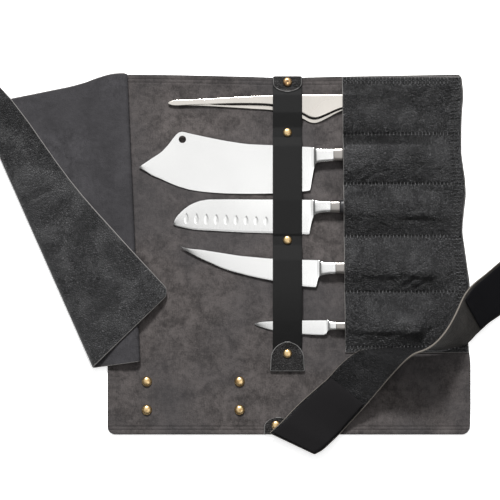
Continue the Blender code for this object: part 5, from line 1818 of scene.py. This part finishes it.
def make_band():
    surface = band_surface(BAND_THICK / 2)
    fixed = band_fixed()
    low, high = fixed[0][0], fixed[-1][1]
    rows = []
    for y in spread(low, high, 300):
        height = surface(y)
        rows.append([Vector((BAND_MIDDLE + side * BAND_WIDTH / 2, y, height)) for side in spread(-1, 1, 9)])
    thing = skin("band_webbing", rows, rows, BAND_THICK, [BAND_WEAVE, BAND_WEAVE, BAND_WEAVE])
    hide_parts("blade_band")


def tab_half(share):
    """Half width of a tab at a share of its length, as a share of the whole half width."""
    if share < 0.42:
        return 1.0
    return math.sqrt(max(1 - ((share - 0.42) / 0.58) ** 2, 0.03))


def fine_tab_rows(middle, start, length, width, taper, height):
    """Fine grid of a tab's middle surface."""
    rows = []
    shares = spread(0.0, 0.42, 14) + [0.42 + 0.58 * math.sin(step) for step in spread(0, math.pi / 2, 22)[1:]]
    for share in shares:
        y = start + share * length
        half = width / 2 * tab_half(share) * (1 - taper * share)
        row = []
        for side in spread(-1.0, 1.0, 21):
            x = middle + side * half
            row.append(Vector((x, y, height(y))))
        rows.append(row)
    return rows


def tab_relief(point, name):
    """Unevenness of a tab, and the creases across and along the end tab."""
    value = 0.00012 * ripple(point.x, point.y, 0.006, 2.2)
    if name != "end_tab_leather":
        return value
    low = end_snap_y() - END_CREASE_DROP
    across = math.exp(-((point.y - low) / 0.0009) ** 2) * smooth((BAND_MIDDLE + 0.004 - point.x) / 0.008)
    along = math.exp(-((point.x - BAND_MIDDLE - 0.001) / 0.0009) ** 2) * smooth((low - point.y) / 0.004)
    return value - 0.0007 * max(across, along)


def make_tabs():
    cover = BAND_THICK + 1.5 * LAYER_GAP + TAB_THICK / 2
    over_band = band_surface(cover)
    lower_middle = -PANEL_LENGTH / 2 + LOWER_TAB_LEFT + LOWER_TAB_WIDTH / 2
    lower_start = -PANEL_WIDTH / 2 + LOWER_TAB_INSET
    tabs = [
        ("top_tab_leather", "band_top_tab", BAND_MIDDLE, top_tab_start(), -TOP_TAB_LENGTH,
         TOP_TAB_WIDTH, 0.0, over_band, "band_webbing"),
        ("end_tab_leather", "band_end_tab", BAND_MIDDLE, end_tab_start(), END_TAB_LENGTH,
         END_TAB_WIDTH, END_TAB_TAPER, over_band, "band_webbing"),
        ("lower_tab_leather", "lower_edge_tab", lower_middle, lower_start, LOWER_TAB_LENGTH,
         LOWER_TAB_WIDTH, 0.0, lambda _: SHEET_BASE + TAB_THICK / 2, "panel_leather"),
    ]
    for name, node, middle, start, length, width, taper, height, below in tabs:
        rows = fine_tab_rows(middle, start, length, width, taper, height)
        if length < 0:
            rows = list(reversed(rows))
        relief = [[tab_relief(point, name) for point in row] for row in rows]
        thing = skin(name, rows, rows, TAB_THICK, [TAB_GRAIN, STRAP_SUEDE, TAB_EDGE], relief, 0.5)
        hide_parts(node)


# Closure strap

def strap_flat(rows):
    """Flat map of a long strip: distance along its middle, and across it."""
    flat = []
    length = 0.0
    before = None
    for row in rows:
        middle = row[len(row) // 2]
        if before is not None:
            length += (middle - before).length
        before = middle
        flat.append([((point - row[0]).length, length) for point in row])
    return flat


def make_strap():
    edges = refined(strap_edges(), 2)
    rows = [[right.lerp(left, share) for share in spread(0.0, 1.0, 25)] for right, left in edges]
    flat = strap_flat(rows)
    relief = []
    for places in flat:
        relief.append([0.0003 * ripple(place[0], place[1], 0.018, 4.4) for place in places])
    thing = skin("strap_leather_sheet", rows, flat, STRAP_THICK,
                 [STRAP_SUEDE, STRAP_GRAIN, STRAP_EDGE], relief)
    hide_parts("closure_strap")


def fine_patch_rows(from_start, reach):
    """Fine grid of a patch on the strap's upper side, from the coarse rows of the part."""
    rows = patch_rows(from_start, reach)
    pairs = refined([(row[0], row[-1]) for row in rows], 2)
    return [[first.lerp(second, share) for share in spread(0.0, 1.0, 19)] for first, second in pairs]


def make_patches():
    for name, node, from_start, reach, material in (
            ("hook_tape_patch", "hook_patch", True, HOOK_LENGTH, HOOK_TAPE),
            ("loop_tape_patch", "loop_patch", False, LOOP_LENGTH, LOOP_TAPE)):
        rows = fine_patch_rows(from_start, reach)
        if grid_normals(np.array([[tuple(p) for p in row] for row in rows]))[0, 0, 2] < 0:
            rows = list(reversed(rows))
        thing = skin(name, rows, strap_flat(rows), PATCH_THICK, [material, material, material])
        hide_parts(node)


# Knives

BLADE_STATIONS = 190
# Share of the way from the spine to the edge where the ground edge starts, and what it keeps of the
# thickness
EDGE_BEVEL = 0.95
BEVEL_KEPT = 0.55
# Power of the rounded section of a steel ring
RING_POWER = 3.4
HOLLOW_DEPTH = 0.00026
# Santoku hollows: share of the reach of the first and the last one, number, and their upper and lower
# ends as shares of the blade height, at the first and at the last
HOLLOWS = (0.9155, 0.4093, 9, (-0.180, -0.520), (-0.300, -0.545))
HOLLOW_WIDTH = 0.0050


def hollow_depth(x, height):
    """Depth of the hollows along a blade at a distance and a height, both as shares."""
    first, last, number, start, end = HOLLOWS
    knife = KNIVES["santoku"]
    place = (first - x) / (first - last) * (number - 1)
    index = min(max(round(place), 0), number - 1)
    away = (place - index) * (first - last) / (number - 1) * knife["reach"]
    share = index / (number - 1)
    high = mix(start[0], end[0], share)
    low = mix(start[1], end[1], share)
    up = (height - (high + low) / 2) / ((high - low) / 2)
    if abs(up) >= 1:
        return 0.0
    point = 1 - max(up, 0.0) ** 1.4 if up > 0 else math.sqrt(1 - up ** 2)
    over = abs(away) / (HOLLOW_WIDTH / 2 * max(point, 0.05))
    if over >= 1:
        return 0.0
    return HOLLOW_DEPTH * math.sqrt(1 - over ** 2) * min(1.0, 3 * (1 - abs(up)))


def fine_blade_sections(name):
    """Fine sections of a blade and its bolster, placed."""
    knife = KNIVES[name]
    place = knife_place(name)
    rows = sorted(knife["rows"])
    hollowed = name == "santoku"
    stations = 360 if hollowed else BLADE_STATIONS
    shares = sorted(set(spread(0.0, 1.0, stations) + spread(0.06, 0.14, 60) + spread(0.97, 1.0, 8)))
    number = 62 if hollowed else 26
    acrosses = [0.5 - 0.5 * math.cos(angle) for angle in spread(0.0, math.pi, number)]
    if hollowed:
        acrosses = sorted([0.0, 0.004, 0.015] + spread(0.03, 0.97, number - 6) + [0.985, 0.996, 1.0])
    sections = []
    for share in reversed(shares):
        top = curve_value(rows, share, 1) * knife["height"]
        low = curve_value(rows, share, 2) * knife["height"]
        swell = curve_value(rows, share, 3)
        thin = max(min((top - low) / TIP_WIDTH, 1.0), TIP_SHARE)
        upper = []
        under = []
        for across in acrosses:
            y = mix(top, low, across)
            half = blade_half(knife, across, swell) * thin
            bevel = smooth((across - EDGE_BEVEL) / (1 - EDGE_BEVEL)) if swell < 0.02 else 0.0
            half = mix(half, half * BEVEL_KEPT, bevel)
            depth = hollow_depth(share, y / knife["height"]) if hollowed else 0.0
            upper.append(place @ Vector((-share * knife["reach"], y, half - depth)))
            under.append(place @ Vector((-share * knife["reach"], y, -half)))
        sections.append(upper + list(reversed(under)))
    return sections


def fine_ring_sections(knife):
    """Fine sections of the steel ring, with softened ends."""
    half_width = knife["bolster_width"] / 2
    half_thick = knife["bolster"] / 2
    ends = [(0.0, 0.93), (0.0002, 0.98), (0.0006, 1.0), (0.0010, 1.0)]
    length = RING_LENGTH - JOINT_GAP
    sections = []
    for distance, size in ends + [(length - step, scale) for step, scale in reversed(ends)]:
        share = distance / length
        wide = mix(1.0, 1.03, share) * size
        thick = mix(1.0, 1.02, share) * size
        sections.append(oval(JOINT_GAP + distance, half_width * wide, half_thick * thick, 48, RING_POWER))
    return sections


def fine_handle_sections(knife):
    """Fine sections of the handle, with rounded ends."""
    start = RING_LENGTH + JOINT_GAP
    shares = sorted(set(spread(0.0, 1.0, 60) + [0.002, 0.006, 0.99, 0.996]))
    sections = []
    for share in shares:
        wide = curve_value(HANDLE_ROWS, share, 1)
        thick = curve_value(HANDLE_ROWS, share, 2)
        end = min(share, 1 - share) * knife["handle_length"]
        soft = 1 - 0.12 * (1 - min(end / 0.0012, 1.0)) ** 2
        sections.append(oval(start + share * knife["handle_length"], wide * soft * knife["handle_width"] / 2,
                             thick * soft * knife["handle_thick"] / 2, 40))
    return sections


def pierced(thing, place, radius):
    """Blade with a round hole through it."""
    shape = bmesh.new()
    bmesh.ops.create_cone(shape, cap_ends=True, segments=48, radius1=radius, radius2=radius, depth=0.05,
                          matrix=place)
    mesh = bpy.data.meshes.new("hole_cutter")
    shape.to_mesh(mesh)
    shape.free()
    cutter = bpy.data.objects.new("hole_cutter", mesh)
    bpy.context.scene.collection.objects.link(cutter)
    cut = thing.modifiers.new("hole", "BOOLEAN")
    cut.object = cutter
    cut.solver = "EXACT"
    view = bpy.context.evaluated_depsgraph_get()
    made = bpy.data.meshes.new_from_object(thing.evaluated_get(view), depsgraph=view)
    thing.modifiers.clear()
    thing.data = made
    bpy.data.objects.remove(cutter)


def make_knives():
    for name, knife in KNIVES.items():
        place = knife_place(name)
        blade = solid_loft(name + "_knife_blade", fine_blade_sections(name), BLADE_STEEL)
        if "hole" in knife:
            length_share, height_share, radius = knife["hole"]
            offset = (-length_share * knife["reach"], height_share * knife["height"], 0)
            pierced(blade, place @ Matrix.Translation(offset), radius)
        bodies = [(blade, name + "_blade", "polished_steel")]
        for kind, sections, material, slot in (
                ("ring", fine_ring_sections(knife), RING_STEEL, "brushed_steel"),
                ("handle", fine_handle_sections(knife), HANDLE_BLACK, "handle_plastic")):
            placed = [[place @ point for point in section] for section in sections]
            body = solid_loft(f"{name}_knife_{kind}", placed, material)
            bodies.append((body, f"{name}_{kind}", slot))
        for body, node, slot in bodies:
            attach(body, "root")
            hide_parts(node)


# Tweezers

# Gap between the two arms of the tweezers on the plan
ARM_GAP = 0.0030


def make_tweezers():
    stations = refined(tweezer_stations(), TWEEZER_ROUNDS)
    start = stations[0][0].x
    turn = max(range(len(stations)), key=lambda index: stations[index][0].x)
    upper = [(point.x, point.y - half) for point, half in stations[:turn]]
    rows = []
    for index, (point, half) in enumerate(stations):
        reach = min(index, len(stations) - 1 - index)
        half = half * (0.45 + 0.55 * smooth(reach / 5))
        high, low = point.y + half, point.y - half
        if index > turn:
            share = (point.x - start) / TWEEZER_REACH
            apart = smooth((share - 0.10) / 0.22) * smooth((0.90 - share) / 0.12)
            edge = table_value(upper, point.x, 1) - ARM_GAP * apart
            high = mix(high, max(edge, low + 0.0014), smooth(apart * 2))
        rows.append([Vector((point.x, mix(high, low, side), point.z)) for side in spread(0.0, 1.0, 13)])
    flat = [[(place[1], place[0]) for place in row] for row in strap_flat(rows)]
    thing = skin("fish_bone_tweezers", rows, flat, TWEEZER_PLATE,
                 [TWEEZER_STEEL, TWEEZER_STEEL, TWEEZER_STEEL], bulge=0.3)
    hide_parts("fish_tweezers")


# Brass fasteners

def turned_cap(name, x, y, seat, radius, height, material, dimple=0.0):
    """Domed cap with a rolled rim, and a dimple in the middle where it has one."""
    profile = [(0.0, 0.0), (0.5, 0.0), (0.93, 0.0), (0.985, 0.05), (1.0, 0.12), (0.99, 0.19), (0.955, 0.24)]
    for step in range(1, 15):
        angle = math.pi / 2 * step / 14
        out = 0.94 * math.cos(angle)
        rise = 0.25 + 0.75 * math.sin(angle)
        rise -= dimple * math.exp(-(out / 0.34) ** 2)
        profile.append((out, rise))
    around = 56
    vertices = []
    for out, rise in profile:
        for step in range(around):
            angle = 2 * math.pi * step / around
            reach = max(out, 0.002) * radius
            vertices.append(Vector((x + reach * math.cos(angle), y + reach * math.sin(angle),
                                    seat + rise * height)))
    faces = tube_faces(0, len(profile), around)
    uv = [(vertex.x, vertex.y) for vertex in vertices]
    return make_mesh(name, vertices, faces, uv, [0] * len(faces), [material])


def make_fasteners():
    on_band = SHEET_BASE + BAND_THICK + LAYER_GAP
    on_tab = on_band + TAB_THICK + LAYER_GAP
    on_lower = SHEET_BASE + TAB_THICK + LAYER_GAP
    rivet_low, rivet_high = rivet_heights()
    snap_x, snap_y = lower_snap_place()
    cap = (CAP_RADIUS, CAP_HEIGHT)
    caps = [
        ("top_tab_snap", BAND_MIDDLE, top_snap_y(), on_tab, cap, WORN_BRASS, 0.3),
        ("band_rivet_upper", BAND_MIDDLE, rivet_high, on_band, cap, BRASS, 0.0),
        ("band_rivet_lower", BAND_MIDDLE, rivet_low, on_band, cap, BRASS, 0.0),
        ("band_end_snap", BAND_MIDDLE, end_snap_y(), on_tab, cap, BRASS, 0.0),
        ("lower_tab_snap", snap_x, snap_y, on_lower, cap, BRASS, 0.0),
    ]
    for index, (length_share, width_share) in enumerate(STUDS):
        place = (panel_x(length_share), panel_y(width_share))
        caps.append((f"stud_{index + 1}", *place, SHEET_BASE, (STUD_RADIUS, STUD_HEIGHT), BRASS, 0.0))
    for node, x, y, seat, (radius, height), material, dimple in caps:
        thing = turned_cap(node + "_brass", x, y, seat, radius, height, material, dimple)
        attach(thing, "root")
        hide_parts(node)


# Stage

PHOTO_CENTRE = (-0.04875, 0.0056)
PHOTO_SIDE = 0.625
CAMERA_HEIGHT = 5.0
# The surface below is lit from behind, as on a light table
FLOOR_GLOW = 0.5


def make_stage():
    shape = bmesh.new()
    bmesh.ops.create_grid(shape, x_segments=1, y_segments=1, size=4.0)
    mesh = bpy.data.meshes.new("floor")
    shape.to_mesh(mesh)
    shape.free()
    floor = bpy.data.objects.new("floor", mesh)
    bpy.context.scene.collection.objects.link(floor)
    material, _, shader, _ = new_material("floor_white")
    shader.inputs["Base Color"].default_value = (0.9, 0.9, 0.9, 1.0)
    shader.inputs["Roughness"].default_value = 0.9
    shader.inputs["Emission Color"].default_value = (1.0, 1.0, 1.0, 1.0)
    shader.inputs["Emission Strength"].default_value = FLOOR_GLOW
    mesh.materials.append(material)

    camera = bpy.data.objects.new("camera", bpy.data.cameras.new("camera"))
    camera.location = (*PHOTO_CENTRE, CAMERA_HEIGHT)
    camera.data.lens = camera.data.sensor_width * CAMERA_HEIGHT / PHOTO_SIDE
    bpy.context.scene.collection.objects.link(camera)
    bpy.context.scene.camera = camera

    world = bpy.data.worlds.new("studio")
    world.use_nodes = True
    bpy.context.scene.world = world
    bpy.context.scene.view_settings.view_transform = "Standard"
    tree = world.node_tree
    background = tree.nodes["Background"]
    direction = add(tree, "TexCoord").outputs["Generated"]
    parts = add(tree, "SeparateXYZ", {"Vector": direction}).outputs
    lean = plus(tree, parts["Z"], times(tree, parts["Y"], 0.2))
    light = ranged(tree, lean, 0.62, 0.90, 0.14, 1.0)
    tree.links.new(light, background.inputs["Strength"])
    background.inputs["Color"].default_value = (1.0, 1.0, 1.0, 1.0)

    for name, place, size, energy in (
            ("key", (-0.35, 2.0, 1.9), 0.45, 130.0),
            ("fill", (0.9, -0.6, 2.2), 1.6, 6.0)):
        lamp = bpy.data.objects.new(name, bpy.data.lights.new(name, "AREA"))
        lamp.data.size = size
        lamp.data.energy = energy
        lamp.location = place
        aim = Vector((*PHOTO_CENTRE, 0.0)) - Vector(place)
        lamp.rotation_mode = "QUATERNION"
        lamp.rotation_quaternion = aim.to_track_quat("-Z", "Y")
        bpy.context.scene.collection.objects.link(lamp)


make_stage()
make_panel()
make_pockets()
make_stitches()
make_flap()
make_band()
make_tabs()
make_strap()
make_patches()
make_knives()
make_tweezers()
make_fasteners()
